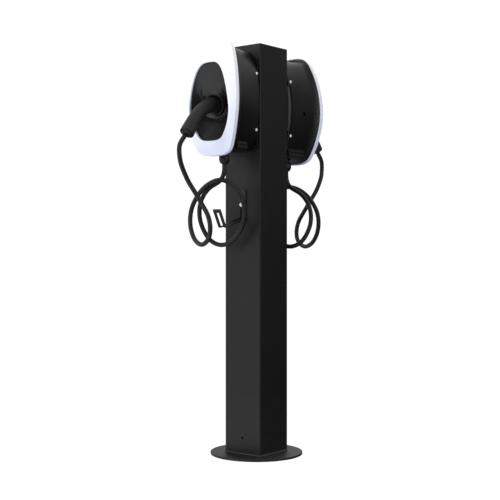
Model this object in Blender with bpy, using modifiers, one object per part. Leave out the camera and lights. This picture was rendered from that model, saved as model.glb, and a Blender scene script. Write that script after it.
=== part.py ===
"""Dual pedestal charging post: a square steel column on a round foot plate, with two identical
tethered wall-box chargers back to back, each with a holstered connector, a hanging cable and a
strap hook.  Metres, +Z up, foot on Z = 0, column on the Z axis.  The front charger, "a", faces
-Y; the rear one, "b", is its half turn about Z.  Charger pieces are drawn facing -Y, and "out"
is the distance from the column's axis towards -Y."""
import math
from functools import cache

import bmesh
import bpy
from mathutils import Matrix, Vector

# ---------------------------------------------------------------- driving dimensions
GAP = 0.0004                # clearance between neighbouring pieces
POST_HALF = 0.0767          # half the column's outside width
POST_CORNER = 0.0040        # outside corner radius
POST_WALL = 0.0048
POST_TOP = 1.3970
POST_FOOT = 0.0088          # the column stands this high, just clear of the plate
PLATE_R, PLATE_T = 0.15875, 0.0080          # foot plate
REAR_DROP = 0.0050          # the rear charger and its hook hang this much lower

WIRE_Z, WIRE_R = 1.2000, 0.0150             # supply cable hole behind each charger
HOOK_BOLT_Z, HOOK_HOLE_R = 0.8560, 0.0048
WALL_HOLE = 0.05, 0.10      # |y| range of the holes cut through the column's walls

# the bezel and the face round its opening both bow in z: furthest out at MID_Z
BEZEL_MID_Z, BEZEL_OUT, BEZEL_BOW = 1.190, 0.2440, 0.62
FACE_MID_Z, FACE_OUT, FACE_BOW = 1.225, 0.2545, 0.45
BEZEL_DEEP = 0.0162         # depth of the bezel's rim
LIP_GAP = 0.0012            # from the bezel's rear edge to the casing's lip

# half outlines, top centre to bottom centre, as (half width, height)
BEZEL_EDGE = (
    (0, 1.3955), (.030, 1.3948), (.050, 1.3910), (.0665, 1.3800), (.0777, 1.3600),
    (.0930, 1.3200), (.1063, 1.2600), (.1115, 1.1950), (.1062, 1.1400), (.0915, 1.0800),
    (.0835, 1.0600), (.0760, 1.0400), (.0665, 1.0260), (.0450, 1.0152), (.0230, 1.0123),
    (0, 1.0118))
OPENING = (
    (0, 1.3175), (.022, 1.3165), (.036, 1.3105), (.0535, 1.2900), (.0688, 1.2500),
    (.0800, 1.2000), (.0833, 1.1600), (.0789, 1.1300), (.0671, 1.1000), (.0480, 1.0710),
    (.0310, 1.0625), (0, 1.0605))
CASE_LIP = (
    (0, 1.3868), (.030, 1.3860), (.052, 1.3820), (.0655, 1.3735), (.0755, 1.3560),
    (.0905, 1.3180), (.1038, 1.2590), (.1090, 1.1950), (.1036, 1.1410), (.0889, 1.0820),
    (.0809, 1.0620), (.0733, 1.0435), (.0642, 1.0305), (.0430, 1.0205), (.0220, 1.0182),
    (0, 1.0178))
CASE_REAR = (
    (0, 1.3780), (.018, 1.3760), (.0356, 1.3660), (.0529, 1.3470), (.0701, 1.3060),
    (.0775, 1.2700), (.0815, 1.1950), (.0775, 1.1300), (.0715, 1.0900), (.0640, 1.0650),
    (.0520, 1.0460), (.0356, 1.0350), (0, 1.0330))
STATIONS = 14               # loft stations on each half outline
RING = 2 * STATIONS         # points round a whole outline

# side screws: label, z, out, |x| of the tab's inner face, |x| under the screw's head
SIDE_SCREWS = (("upper", 1.2915, .0950, .0585, .0764),
               ("lower", 1.1040, .0955, .0565, .0761))
SIDE_HOLE_R, SIDE_HOLE_X = .0034, .11

DOCK_TILT = math.radians(13)                # the holster's mouth looks outward and down
DOCK_MOUTH = Vector((0, -0.2190, 1.1815))
DOCK_AXIS = Vector((0, -math.cos(DOCK_TILT), -math.sin(DOCK_TILT)))
DOCK_UP = Vector((0, -math.sin(DOCK_TILT), math.cos(DOCK_TILT)))
DOCK_R, SLEEVE_R, SLEEVE_IN = 0.0375, 0.0345, 0.0285

GLAND_Y = 0.1720            # how far out the cable gland sits

# each side's placement
TURN = {"a": Matrix(),
        "b": Matrix.Translation((0, 0, -REAR_DROP)) @ Matrix.Rotation(math.pi, 4, 'Z')}

# ---------------------------------------------------------------- finishes
# name: base colour, roughness, metallic
FINISHES = {
    "black_paint": ((.035, .036, .038), .42, 0),
    "foot_paint": ((.04, .041, .043), .45, 0),
    "anchor_steel": ((.55, .56, .57), .4, 1),
    "socket_steel": ((.3, .31, .32), .5, 1),
    "cap_paint": ((.036, .037, .039), .42, 0),
    "trim_rubber": ((.05, .05, .05), .6, 0),
    "lock_steel": ((.2, .2, .21), .4, 1),
    "plate_zinc": ((.55, .56, .57), .38, .9),
    "casing_black": ((.02, .02, .022), .38, 0),
    "screw_chrome": ((.8, .8, .81), .2, 1),
    "bezel_white": ((.86, .87, .93), .3, 0),
    "seal_black": ((.015, .015, .02), .7, 0),
    "fascia_black": ((.045, .045, .05), .45, 0),
    "holster_black": ((.03, .03, .032), .5, 0),
    "collar_grey": ((.09, .09, .095), .35, 0),
    "board_green": ((.03, .16, .07), .5, 0),
    "contactor_grey": ((.25, .25, .26), .5, 0),
    "terminal_cream": ((.5, .48, .4), .5, 0),
    "gland_black": ((.03, .03, .03), .5, 0),
    "gland_nut_black": ((.035, .035, .035), .45, 0),
    "cable_black": ((.02, .02, .02), .55, 0),
    "lead_black": ((.02, .02, .02), .55, 0),
    "grip_black": ((.03, .03, .033), .42, 0),
    "nose_black": ((.025, .025, .025), .4, 0),
    "contact_block": ((.30, .28, .22), .35, .4),
    "relief_black": ((.025, .025, .025), .5, 0),
    "hook_paint": ((.05, .05, .052), .45, 0),
    "hook_bolt_steel": ((.8, .8, .81), .25, 1),
}


@cache
def finish(name, side=None):
    """The material for a finish, made once for the post or once for each side."""
    colour, roughness, metallic = FINISHES[name]
    mat = bpy.data.materials.new(f"{name}_{side}" if side else name)
    mat.use_nodes = True
    inputs = mat.node_tree.nodes["Principled BSDF"].inputs
    inputs["Base Color"].default_value = (*colour, 1)
    inputs["Roughness"].default_value = roughness
    inputs["Metallic"].default_value = metallic
    mat.diffuse_color = (*colour, 1)
    return mat


# ---------------------------------------------------------------- scene and objects
for old in list(bpy.data.objects):
    bpy.data.objects.remove(old, do_unlink=True)
post_coll = bpy.data.collections.new("ev_charging_post")
cut_coll = bpy.data.collections.new("cutters")
for new_coll in (post_coll, cut_coll):
    bpy.context.scene.collection.children.link(new_coll)


def add(name, data, mat=None, coll=post_coll):
    obj = bpy.data.objects.new(name, data)
    coll.objects.link(obj)
    if mat:
        data.materials.clear()
        data.materials.append(mat)
    return obj


def cutter(name, mesh):
    """A hidden tool for a boolean."""
    obj = add(name, mesh, coll=cut_coll)
    obj.hide_render = True
    obj.display_type = 'WIRE'
    return obj


def add_side(name, side, mesh, finish_name):
    """A charger piece turned to its side."""
    mesh.transform(TURN[side])
    return add(f"{name}_{side}", mesh, finish(finish_name, side))


def side_cutter(name, side, mesh):
    mesh.transform(TURN[side])
    return cutter(f"{name}_{side}", mesh)


def boolean(obj, tool, name="cut", operation='DIFFERENCE'):
    mod = obj.modifiers.new(name, 'BOOLEAN')
    mod.operation = operation
    mod.object = tool


def thicken(obj, thickness):
    """Give a surface its wall, on the side its normals point away from."""
    mod = obj.modifiers.new("wall", 'SOLIDIFY')
    mod.thickness = thickness
    mod.offset = -1
    mod.use_even_offset = False


def bake(obj):
    """The object's finished, welded mesh; the object itself is dropped."""
    graph = bpy.context.evaluated_depsgraph_get()
    graph.update()
    mesh = bpy.data.meshes.new_from_object(obj.evaluated_get(graph))
    bm = bmesh.new()
    bm.from_mesh(mesh)
    bmesh.ops.remove_doubles(bm, verts=bm.verts, dist=1e-5)
    bmesh.ops.recalc_face_normals(bm, faces=bm.faces)
    bm.to_mesh(mesh)
    bm.free()
    bpy.data.objects.remove(obj, do_unlink=True)
    return mesh


# ---------------------------------------------------------------- meshes
def from_bmesh(bm):
    mesh = bpy.data.meshes.new("mesh")
    bm.to_mesh(mesh)
    bm.free()
    return mesh


def shade(mesh, smooth):
    for face in mesh.polygons:
        face.use_smooth = smooth


def faced(verts, faces, towards=None):
    """A mesh whose normals point outward or, for an open surface, mostly along
    towards(face centre)."""
    mesh = bpy.data.meshes.new("faced")
    mesh.from_pydata(verts, [], faces)
    bm = bmesh.new()
    bm.from_mesh(mesh)
    if towards is None:
        bmesh.ops.recalc_face_normals(bm, faces=bm.faces)
    elif sum(f.normal.dot(towards(f.calc_center_median())) * f.calc_area()
             for f in bm.faces) < 0:
        bmesh.ops.reverse_faces(bm, faces=bm.faces)
    bm.to_mesh(mesh)
    bm.free()
    return mesh


def turned(profile, steps=20, closed=False):
    """A profile of (radius, height), down its outer side, turned about Z."""
    count = len(profile)
    edges = [(i, i + 1) for i in range(count - 1)]
    if closed:
        edges.append((count - 1, 0))
    mesh = bpy.data.meshes.new("profile")
    mesh.from_pydata([(r, 0, z) for r, z in profile], edges, [])
    obj = add("turning", mesh)
    mod = obj.modifiers.new("turn", 'SCREW')
    mod.axis = 'Z'
    mod.steps = mod.render_steps = steps
    mod.use_merge_vertices = True
    mod.merge_threshold = 1e-5
    mod.use_smooth_shade = True
    return bake(obj)


def along(direction, place):
    """Matrix that stands a turned piece's +Z along a direction at a place."""
    turn = Vector(direction).normalized().to_track_quat('Z', 'Y')
    return Matrix.Translation(place) @ turn.to_matrix().to_4x4()


def placed(mesh, matrix):
    """A moved copy of a mesh."""
    copy = mesh.copy()
    copy.transform(matrix)
    return copy


def joined(meshes):
    """One mesh from several, kept as separate solids."""
    bm = bmesh.new()
    for mesh in meshes:
        bm.from_mesh(mesh)
    return from_bmesh(bm)


def box(x0, x1, y0, y1, z0, z1):
    bm = bmesh.new()
    centre = Matrix.Translation(((x0 + x1) / 2, (y0 + y1) / 2, (z0 + z1) / 2))
    size = Matrix.Diagonal((x1 - x0, y1 - y0, z1 - z0, 1))
    bmesh.ops.create_cube(bm, size=1, matrix=centre @ size)
    return from_bmesh(bm)


def rod(radius, start, end, segments=16):
    start, end = Vector(start), Vector(end)
    bm = bmesh.new()
    bmesh.ops.create_cone(bm, cap_ends=True, segments=segments, radius1=radius,
                          radius2=radius, depth=(end - start).length)
    mesh = from_bmesh(bm)
    mesh.transform(along(end - start, (start + end) / 2))
    return mesh


def prism(sections):
    """A closed solid through four-cornered sections, first to last."""
    top = 4 * (len(sections) - 1)
    faces = [(0, 1, 2, 3), tuple(top + i for i in (3, 2, 1, 0))]
    for row in range(0, top, 4):
        for i in range(4):
            j = (i + 1) % 4
            faces.append((row + i, row + j, row + 4 + j, row + 4 + i))
    return faced([corner for section in sections for corner in section], faces)


def lofted(loops, towards=None):
    """Surface through closed loops of equal count.  Without a direction for its normals the
    last loop is joined to the first, which closes the solid."""
    count, rows = len(loops[0]), len(loops)
    faces = []
    for row in range(rows if towards is None else rows - 1):
        here, there = row * count, (row + 1) % rows * count
        for i in range(count):
            j = (i + 1) % count
            faces.append((here + i, here + j, there + j, there + i))
    mesh = faced([point for loop in loops for point in loop], faces, towards)
    shade(mesh, True)
    return mesh


def curve_mesh(curve, points, cyclic=False):
    """The mesh of a straight-segment curve through the points."""
    spline = curve.splines.new('POLY')
    spline.points.add(len(points) - 1)
    for knot, point in zip(spline.points, points):
        knot.co = (*point, 1)
    spline.use_cyclic_u = cyclic
    return bake(add("curve", curve))


def rounded_square(half, radius, steps=4):
    points = []
    for k, (sx, sy) in enumerate(((1, 1), (-1, 1), (-1, -1), (1, -1))):
        for i in range(steps + 1):
            angle = math.pi / 2 * (k + i / steps)
            points.append((sx * (half - radius) + radius * math.cos(angle),
                           sy * (half - radius) + radius * math.sin(angle)))
    return points


def square_tube(half, radius, wall, z0, z1):
    outer = rounded_square(half, radius)
    inner = rounded_square(half - wall, max(radius - wall, 0.0015))
    mesh = lofted([[(x, y, z) for x, y in square]
                   for square, z in ((outer, z1), (outer, z0), (inner, z0), (inner, z1))])
    shade(mesh, False)
    return mesh


# ---------------------------------------------------------------- lines and outlines
def smooth_line(knots, count):
    """Evenly spaced points on the smooth line through the knots."""
    knots = [Vector(knot) for knot in knots]
    knots = [knots[0] * 2 - knots[1], *knots, knots[-1] * 2 - knots[-2]]
    fine = []
    for before, start, end, after in zip(knots, knots[1:], knots[2:], knots[3:]):
        for step in range(12):
            t = step / 12
            fine.append(0.5 * ((2 * start) + (end - before) * t
                               + (2 * before - 5 * start + 4 * end - after) * t * t
                               + (3 * start - before - 3 * end + after) * t * t * t))
    fine.append(knots[-2])
    run = [0.0]             # length of line up to each fine point
    for start, end in zip(fine, fine[1:]):
        run.append(run[-1] + (end - start).length)
    line, j = [], 0
    for k in range(count):
        goal = run[-1] * k / (count - 1)
        while j < len(run) - 2 and run[j + 1] < goal:
            j += 1
        part = (goal - run[j]) / max(run[j + 1] - run[j], 1e-12)
        line.append(fine[j].lerp(fine[j + 1], min(part, 1.0)))
    return line


def outline(half, grow=0.0):
    """Closed outline as (x, z) pairs: down the +X side from the top centre, up the other side;
    a positive grow widens it."""
    right = smooth_line([(x, 0, z) for x, z in half], STATIONS + 1)
    right[0].x = right[-1].x = 0.0
    loop = [(p.x, p.z) for p in right] + [(-p.x, p.z) for p in reversed(right[1:-1])]
    if not grow:
        return loop
    grown = []
    for i, (x, z) in enumerate(loop):
        (x0, z0), (x1, z1) = loop[i - 1], loop[(i + 1) % RING]
        run_x, run_z = x1 - x0, z1 - z0
        length = math.hypot(run_x, run_z)
        grown.append((x - grow * run_z / length, z + grow * run_x / length))
    return grown


def blend(first, second, part):
    """The outline part of the way from the first to the second."""
    return [(x0 * (1 - part) + x1 * part, z0 * (1 - part) + z1 * part)
            for (x0, z0), (x1, z1) in zip(first, second)]


def flat(loop, out):
    return [Vector((x, -out, z)) for x, z in loop]


def set_out(loop, surface, shift=0.0):
    """The loop laid on a bowed surface, moved outward by shift."""
    return [Vector((x, -(surface(z) + shift), z)) for x, z in loop]


def bezel_out(z):
    return BEZEL_OUT - BEZEL_BOW * (z - BEZEL_MID_Z) ** 2


def face_out(z):
    return FACE_OUT - FACE_BOW * (z - FACE_MID_Z) ** 2


def lip_out(z):
    return bezel_out(z) - BEZEL_DEEP - LIP_GAP


def in_mid_plane(out, z):
    return Vector((0, -out, z))


# ---------------------------------------------------------------- foot
PLATE_BORE = 0.030
ANCHOR_PITCH = 0.0380       # |x| and |y| of the anchors
ANCHOR_R, ANCHOR_HOLE_R = 0.0060, 0.0075
ANCHORS = [(sx * ANCHOR_PITCH, sy * ANCHOR_PITCH) for sx in (-1, 1) for sy in (-1, 1)]
SOCKET_HALF, SOCKET_CORNER, SOCKET_WALL, SOCKET_TOP = 0.0710, .0034, 0.0040, 0.1200
TRIM_IN, TRIM_OUT = POST_HALF + GAP, POST_HALF + .0032
TRIM_TOP, TRIM_BEVEL_Z = .0118, .0100
LOCK_Z = 0.0633             # locking screw height
LOCK_HOLE_R, LOCK_HOLE_Y = .0042, .09
LOCK_INSET = .0015          # the screw's face, inside the column's
# (radius, height)
PLATE_PROFILE = (
    (PLATE_BORE, PLATE_T), (PLATE_R - .0010, PLATE_T), (PLATE_R, PLATE_T - .0010),
    (PLATE_R, .0006), (PLATE_R - .0006, 0), (PLATE_BORE, 0))
ANCHOR_PROFILE = (          # stud with its nut and washer
    (0, .0480), (ANCHOR_R - .001, .0480), (ANCHOR_R, .0470), (ANCHOR_R, .0212), (.0100, .0212),
    (.0112, .0202), (.0112, .0112), (.0135, .0110), (.0135, .0084), (ANCHOR_R, .0084),
    (ANCHOR_R, .0005), (0, .0005))
LOCK_PROFILE = ((0, 0), (.0022, 0), (.0036, -.0008), (.0036, -.0100), (0, -.0100))


def build_foot_plate():
    plate = add("foot_plate", turned(PLATE_PROFILE, 48, closed=True), finish("foot_paint"))
    holes = [rod(ANCHOR_HOLE_R, (x, y, -.01), (x, y, .03)) for x, y in ANCHORS]
    boolean(plate, cutter("anchor_cut", joined(holes)))


def build_anchors():
    anchor = turned(ANCHOR_PROFILE, 10)
    for k, (x, y) in enumerate(ANCHORS, 1):
        add(f"anchor_bolt_{k}", placed(anchor, Matrix.Translation((x, y, 0))),
            finish("anchor_steel"))


def build_socket(lock_cut):
    """Square tube on the plate that the column slips over."""
    tube = square_tube(SOCKET_HALF, SOCKET_CORNER, SOCKET_WALL, PLATE_T + GAP, SOCKET_TOP)
    boolean(add("foot_socket", tube, finish("socket_steel")), lock_cut)


def build_trim():
    """Rubber frame round the column's foot, bevelled at its top outer edge."""
    section = ((TRIM_OUT - .0012, TRIM_TOP), (TRIM_OUT, TRIM_BEVEL_Z), (TRIM_OUT, PLATE_T + GAP),
               (TRIM_IN, PLATE_T + GAP), (TRIM_IN, TRIM_TOP))
    loops = [[(x, y, z) for x, y in rounded_square(half, POST_CORNER + half - POST_HALF)]
             for half, z in section]
    add("foot_trim", lofted(loops), finish("trim_rubber"))


def build_lock_screws():
    screw = turned(LOCK_PROFILE, 12)
    for side, sign in (("a", -1), ("b", 1)):
        stand = along((0, sign, 0), (0, sign * (POST_HALF - LOCK_INSET), LOCK_Z))
        add(f"lock_screw_{side}", placed(screw, stand), finish("lock_steel", side))


# ---------------------------------------------------------------- column
CAP_HALF, CAP_T = POST_HALF - POST_WALL - .0005, .0050
CAP_PROUD = .0002           # the cap's top stands this far above the column's


def wall_holes(name, radius, z, segments):
    """Cutter for a hole through the front wall and one, lower, through the rear wall."""
    near, far = WALL_HOLE
    return cutter(name, joined([
        rod(radius, (0, -far, z), (0, -near, z), segments),
        rod(radius, (0, near, z - REAR_DROP), (0, far, z - REAR_DROP), segments)]))


def build_column(*cutters):
    tube = square_tube(POST_HALF, POST_CORNER, POST_WALL, POST_FOOT, POST_TOP - CAP_PROUD)
    column = add("column", tube, finish("black_paint"))
    for tool in cutters:
        boolean(column, tool)
    add("column_cap", box(-CAP_HALF, CAP_HALF, -CAP_HALF, CAP_HALF, POST_TOP - CAP_T, POST_TOP),
        finish("cap_paint"))


# ---------------------------------------------------------------- back plate
PLATE_BACK, PLATE_FRONT = 0.0772, 0.0835    # out
PLATE_X, PLATE_Z = .0705, (1.050, 1.330)
CHEEK_MID_Z, CHEEK_HALF_Z = 1.1985, 0.0770  # extent of the plate's bowed cheeks
CHEEK_BOW = .0047           # how far the cheeks' front edges bow outward
TAB_T, TAB_HALF_Z = .0030, .009


def cheek_pair(inner, outer, side_bow, back, front, half_z=CHEEK_HALF_Z):
    """A block down each side, inner and outer in |x|, back and front in distance out; the
    flank bows by side_bow and the front by CHEEK_BOW."""
    blocks = []
    for sign in (-1, 1):
        sections = []
        for k in range(11):
            z = CHEEK_MID_Z + half_z * (k / 5 - 1)
            bow = max(0.0, 1 - ((z - CHEEK_MID_Z) / CHEEK_HALF_Z) ** 2)
            near, far = sign * inner, sign * (outer + side_bow * bow)
            edge = -(front + CHEEK_BOW * bow)
            sections.append([(near, -back, z), (far, -back, z), (far, edge, z), (near, edge, z)])
        blocks.append(prism(sections))
    return blocks


def build_back_plate(side, wire_cut, side_cut):
    """Flat leaf with four screw tabs and a bowed cheek down each side."""
    curve = bpy.data.curves.new("plate", 'CURVE')
    curve.dimensions = '2D'
    curve.fill_mode = 'BOTH'
    curve.extrude = (PLATE_FRONT - PLATE_BACK) / 2
    low, high = PLATE_Z
    corners = ((PLATE_X, high, 0), (PLATE_X, low, 0), (-PLATE_X, low, 0), (-PLATE_X, high, 0))
    mesh = curve_mesh(curve, corners, cyclic=True)
    mesh.transform(Matrix.Translation((0, -(PLATE_FRONT + PLATE_BACK) / 2, 0))
                   @ Matrix.Rotation(math.pi / 2, 4, 'X'))
    plate = add_side("back_plate", side, mesh, "plate_zinc")
    tabs = []
    for _, z, out, tab_x, _ in SIDE_SCREWS:
        for sign in (-1, 1):
            x0, x1 = sorted((sign * tab_x, sign * (tab_x + TAB_T)))
            tabs.append(box(x0, x1, -(out + .0080), -(PLATE_FRONT - .0020),
                            z - TAB_HALF_Z, z + TAB_HALF_Z))
    tabs += cheek_pair(inner=.0620, outer=.0733, side_bow=.0062, back=.0820, front=.0920)
    boolean(plate, side_cutter("tabs", side, joined(tabs)), "tabs", 'UNION')
    boolean(plate, wire_cut)
    boolean(plate, side_cut)


# ---------------------------------------------------------------- casing
CASE_BACK = 0.0845          # out
CASE_MID = .1450            # out, where the wall is halfway between its ends' outlines
SHELL_T = 0.0025
PAD_Z, PAD_FRONT = (1.0385, 1.0605), .186   # flat pads low on the casing's flanks
PAD_REAR = ((1, .135), (-1, .094))          # sign of x, out: the left pad is the longer
PAD_IN, PAD_LOW, PAD_HIGH = .0410, .0708, .0690     # |x| inside, and outside at each height
GLAND_HOLE_R, GLAND_HOLE_Z = .0112, (1.000, 1.060)
VENT_R, VENT_OUT, VENT_Z = .0062, .1540, 1.1847     # breather hole in the left flank
VENT_X = -.080, -.115
SIDE_SCREW_PROFILE = (
    (0, .0042), (.0036, .0038), (.0054, .0014), (.0054, 0), (.0024, 0), (.0024, -.0180),
    (0, -.0180))


def casing_surface():
    """Rear flange, drafted side wall, then a flare out to the bezel."""
    wall = outline(CASE_LIP, grow=-.0115)
    rear = outline(CASE_REAR)
    rear_edge = [(x * .985, (z - 1.2) * .995 + 1.2) for x, z in rear]
    loops = [
        set_out(outline(CASE_LIP), lip_out),
        set_out(outline(CASE_LIP, grow=-.0062), lip_out, -.0120),
        set_out(wall, lip_out, -.0330),
        flat(blend(wall, rear, .5), CASE_MID),
        flat(rear, CASE_BACK + .0030),
        flat(rear_edge, CASE_BACK),
        flat(outline(CASE_REAR, grow=-.0090), CASE_BACK),
    ]
    return lofted(loops, towards=lambda c: Vector((c.x, (c.y + .15) * .3, c.z - 1.2)))


def flank_pads():
    low, high = PAD_Z
    return joined([
        prism([[(sign * PAD_IN, -out, low), (sign * PAD_LOW, -out, low),
                (sign * PAD_HIGH, -out, high), (sign * PAD_IN, -out, high)]
               for out in (rear, PAD_FRONT)])
        for sign, rear in PAD_REAR])


def build_casing(side, side_cut):
    case = add_side("casing", side, casing_surface(), "casing_black")
    thicken(case, SHELL_T)
    boolean(case, side_cutter("flank_pad", side, flank_pads()), "join", 'UNION')
    windows = joined(cheek_pair(inner=.0600, outer=.1000, side_bow=0, back=.0800, front=.0926,
                                half_z=CHEEK_HALF_Z + .0010))
    gland_hole = rod(GLAND_HOLE_R, *((0, -GLAND_Y, z) for z in GLAND_HOLE_Z))
    vent_hole = rod(VENT_R, *((x, -VENT_OUT, VENT_Z) for x in VENT_X), 14)
    for tool in (side_cutter("cheek_window", side, windows), side_cut,
                 side_cutter("gland_hole", side, gland_hole),
                 side_cutter("vent_hole", side, vent_hole)):
        boolean(case, tool)


def build_side_screws(side):
    screw = turned(SIDE_SCREW_PROFILE, 10)
    for label, z, out, _, head_x in SIDE_SCREWS:
        for hand, sign in (("l", -1), ("r", 1)):
            stand = along((sign, 0, 0), (sign * head_x, -out, z))
            add_side(f"side_screw_{label}_{hand}", side, placed(screw, stand), "screw_chrome")


# ---------------------------------------------------------------- bezel and seal
BEZEL_WALL = .0030
CROWN_WALL = .0034
EDGE_ROUND = .0022          # depth of the small rounding at the outer and opening edges
FACE_RETURN = .0100         # depth of the edge turned in at the opening
# seal section: growth from the casing's lip outline, distance in front of the lip
SEAL_SECTION = ((-.0014, .0018), (-.0040, .0110), (-.0060, .0110), (-.0060, .0018))


def build_bezel(side):
    """A closed C section carried round the outline."""
    outer, opening = outline(BEZEL_EDGE), outline(OPENING)
    outer_in = outline(BEZEL_EDGE, grow=-BEZEL_WALL)
    crown = [(x, (bezel_out(z_outer) + .0015) * .40 + face_out(z_opening) * .60, z)
             for (x, z), (_, z_outer), (_, z_opening)
             in zip(blend(outer, opening, .45), outer, opening)]
    loops = [
        set_out(outer, bezel_out, -BEZEL_DEEP),
        set_out(outer, bezel_out, -EDGE_ROUND),
        set_out(outline(BEZEL_EDGE, grow=-.0020), bezel_out, .0003),
        [(x, -out, z) for x, out, z in crown],
        set_out(outline(OPENING, grow=.0040), face_out),
        set_out(opening, face_out, -EDGE_ROUND),
        set_out(opening, face_out, -FACE_RETURN),
        set_out(outline(OPENING, grow=.0028), face_out, -FACE_RETURN),
        [(x, -(out - CROWN_WALL), z) for x, out, z in crown],
        set_out(outer_in, bezel_out, -.0050),
        set_out(outer_in, bezel_out, -BEZEL_DEEP),
    ]
    add_side("bezel", side, lofted(loops), "bezel_white")


def build_seal(side):
    """Ring between the bezel's rear edge and the casing's lip."""
    loops = [set_out(outline(CASE_LIP, grow), lip_out, shift) for grow, shift in SEAL_SECTION]
    add_side("bezel_seal", side, lofted(loops), "seal_black")


# ---------------------------------------------------------------- fascia and holster
FASCIA_T = .0022
# (radius, height) along the dock's axis from its mouth
SLEEVE_PROFILE = (
    (SLEEVE_R, -.0030), (SLEEVE_R, -.0520), (.0260, -.0580), (.0130, -.0580), (.0130, -.0550),
    (.0235, -.0550), (.0235, -.0270), (SLEEVE_IN, -.0240), (SLEEVE_IN, -.0030))
COLLAR_PROFILE = (
    (SLEEVE_R - .0002, .0002), (SLEEVE_R - .0002, -.0024), (SLEEVE_IN + .0010, -.0024),
    (SLEEVE_IN + .0010, .0002))


def dock_ring(radius, shift, slant):
    """Circle round the dock's axis, moved along it by shift and by slant towards the top."""
    ring = []
    for i in range(RING):
        angle = 2 * math.pi * i / RING
        ring.append(DOCK_MOUTH + DOCK_UP * (radius * math.cos(angle))
                    + Vector((radius * math.sin(angle), 0, 0))
                    + DOCK_AXIS * (shift + slant * math.cos(angle)))
    return ring


def build_fascia(side):
    """The dished panel inside the bezel with the holster's mouth moulded in."""
    rim = dock_ring(DOCK_R, 0.0, .008)
    root = dock_ring(DOCK_R + .0075, -.0100, .010)
    edge = set_out(outline(OPENING, grow=-.0006), face_out, -.0115)
    near_edge = set_out(outline(OPENING, grow=-.0060), face_out, -.0215)
    dish = []
    for i in range(RING):
        angle = 2 * math.pi * i / RING
        # deepest below the mouth, half as deep above it
        deep = .010 + .012 * (1 - math.cos(angle)) / 2 + .006 * math.sin(angle) ** 2
        point = root[i].lerp(near_edge[i], .52)
        point.y += deep * (.5 if math.cos(angle) > .3 else 1)
        dish.append(point)
    mesh = lofted([rim, root, dish, near_edge, edge], towards=lambda c: Vector((0, -1, 0)))
    thicken(add_side("fascia", side, mesh, "fascia_black"), FASCIA_T)


def build_holster(side):
    """Sleeve inside the mouth, and the collar at its front."""
    for name, profile, finish_name in (("holster", SLEEVE_PROFILE, "holster_black"),
                                       ("holster_collar", COLLAR_PROFILE, "collar_grey")):
        mesh = placed(turned(profile, closed=True), along(DOCK_AXIS, DOCK_MOUTH))
        add_side(name, side, mesh, finish_name)


# ---------------------------------------------------------------- electrics and gland
# blocks on the back plate: name, finish, half width, out from and to, z from and to
ELECTRICS = (
    ("control_board", "board_green", .0400, .1000, .1016, 1.2090, 1.3410),
    ("contactor", "contactor_grey", .0280, .0920, .1400, 1.1420, 1.1900),
    ("terminal_block", "terminal_cream", .0330, .0915, .1180, 1.0800, 1.1080))
# (radius, height)
GLAND_PROFILE = ((.0106, 1.0460), (.0106, 1.0234), (.0155, 1.0232), (.0155, 1.0162),
                 (.0083, 1.0160), (.0083, 1.0460))
GLAND_NUT_PROFILE = ((.0085, 1.0155), (.0160, 1.0155), (.0175, 1.0140), (.0175, 1.0030),
                     (.0160, .9960), (.0110, .9890), (.0085, .9890))


def build_electrics(side):
    for name, finish_name, half, near, far, z0, z1 in ELECTRICS:
        add_side(name, side, box(-half, half, -far, -near, z0, z1), finish_name)


def build_gland(side):
    """Cable gland under the casing: body and nut."""
    for name, profile, steps, finish_name in (
            ("gland_body", GLAND_PROFILE, 20, "gland_black"),
            ("gland_nut", GLAND_NUT_PROFILE, 12, "gland_nut_black")):
        mesh = turned(profile, steps, closed=True)
        mesh.transform(Matrix.Translation((0, -GLAND_Y, 0)))
        add_side(name, side, mesh, finish_name)


# ---------------------------------------------------------------- cable
CABLE_R = 0.00775
# knots as (x, out, z): the lead from the connector, then the coil up to the gland
LEAD = (
    (-.003, .369, 1.0605), (-.004, .384, 1.043), (-.001, .393, 1.026), (-.003, .388, 1.000),
    (-.011, .373, .977), (-.015, .337, .927), (-.005, .309, .885), (.011, .297, .850),
    (.037, .296, .812), (.049, .299, .772), (.036, .293, .738))
COIL = (
    (-.007, .276, .719), (-.060, .252, .736), (-.094, .236, .781), (-.097, .229, .835),
    (-.072, .226, .882), (-.038, .219, .916), (-.001, .204, .934), (.018, .184, .931),
    (.035, .154, .908), (.047, .131, .864), (.046, .120, .820), (.031, .116, .781),
    (.004, .116, .746), (-.035, .121, .721), (-.069, .129, .721), (-.095, .145, .743),
    (-.106, .169, .791), (-.095, .190, .836), (-.074, .201, .874), (-.044, .199, .909),
    (-.016, .186, .926), (-.004, .177, .941), (.001, .172, .968), (0, .172, .990),
    (0, .172, 1.050))


def cable(points):
    curve = bpy.data.curves.new("cable", 'CURVE')
    curve.dimensions = '3D'
    curve.bevel_depth = CABLE_R
    curve.bevel_resolution = 2
    curve.use_fill_caps = True
    mesh = curve_mesh(curve, points)
    shade(mesh, True)
    return mesh


def build_cables(side):
    """One route, split midway between the lead's last knot and the coil's first."""
    knots = [Vector((x, -out, z)) for x, out, z in LEAD + COIL]
    route = smooth_line(knots, 170)
    middle = knots[len(LEAD) - 1].lerp(knots[len(LEAD)], .5)
    split = min(range(len(route)), key=lambda i: (route[i] - middle).length) + 1
    add_side("cable_coil", side, cable(smooth_line(route[split:], 52)), "cable_black")
    add_side("cable_lead", side, cable(smooth_line(route[:split], 22)), "lead_black")


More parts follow.
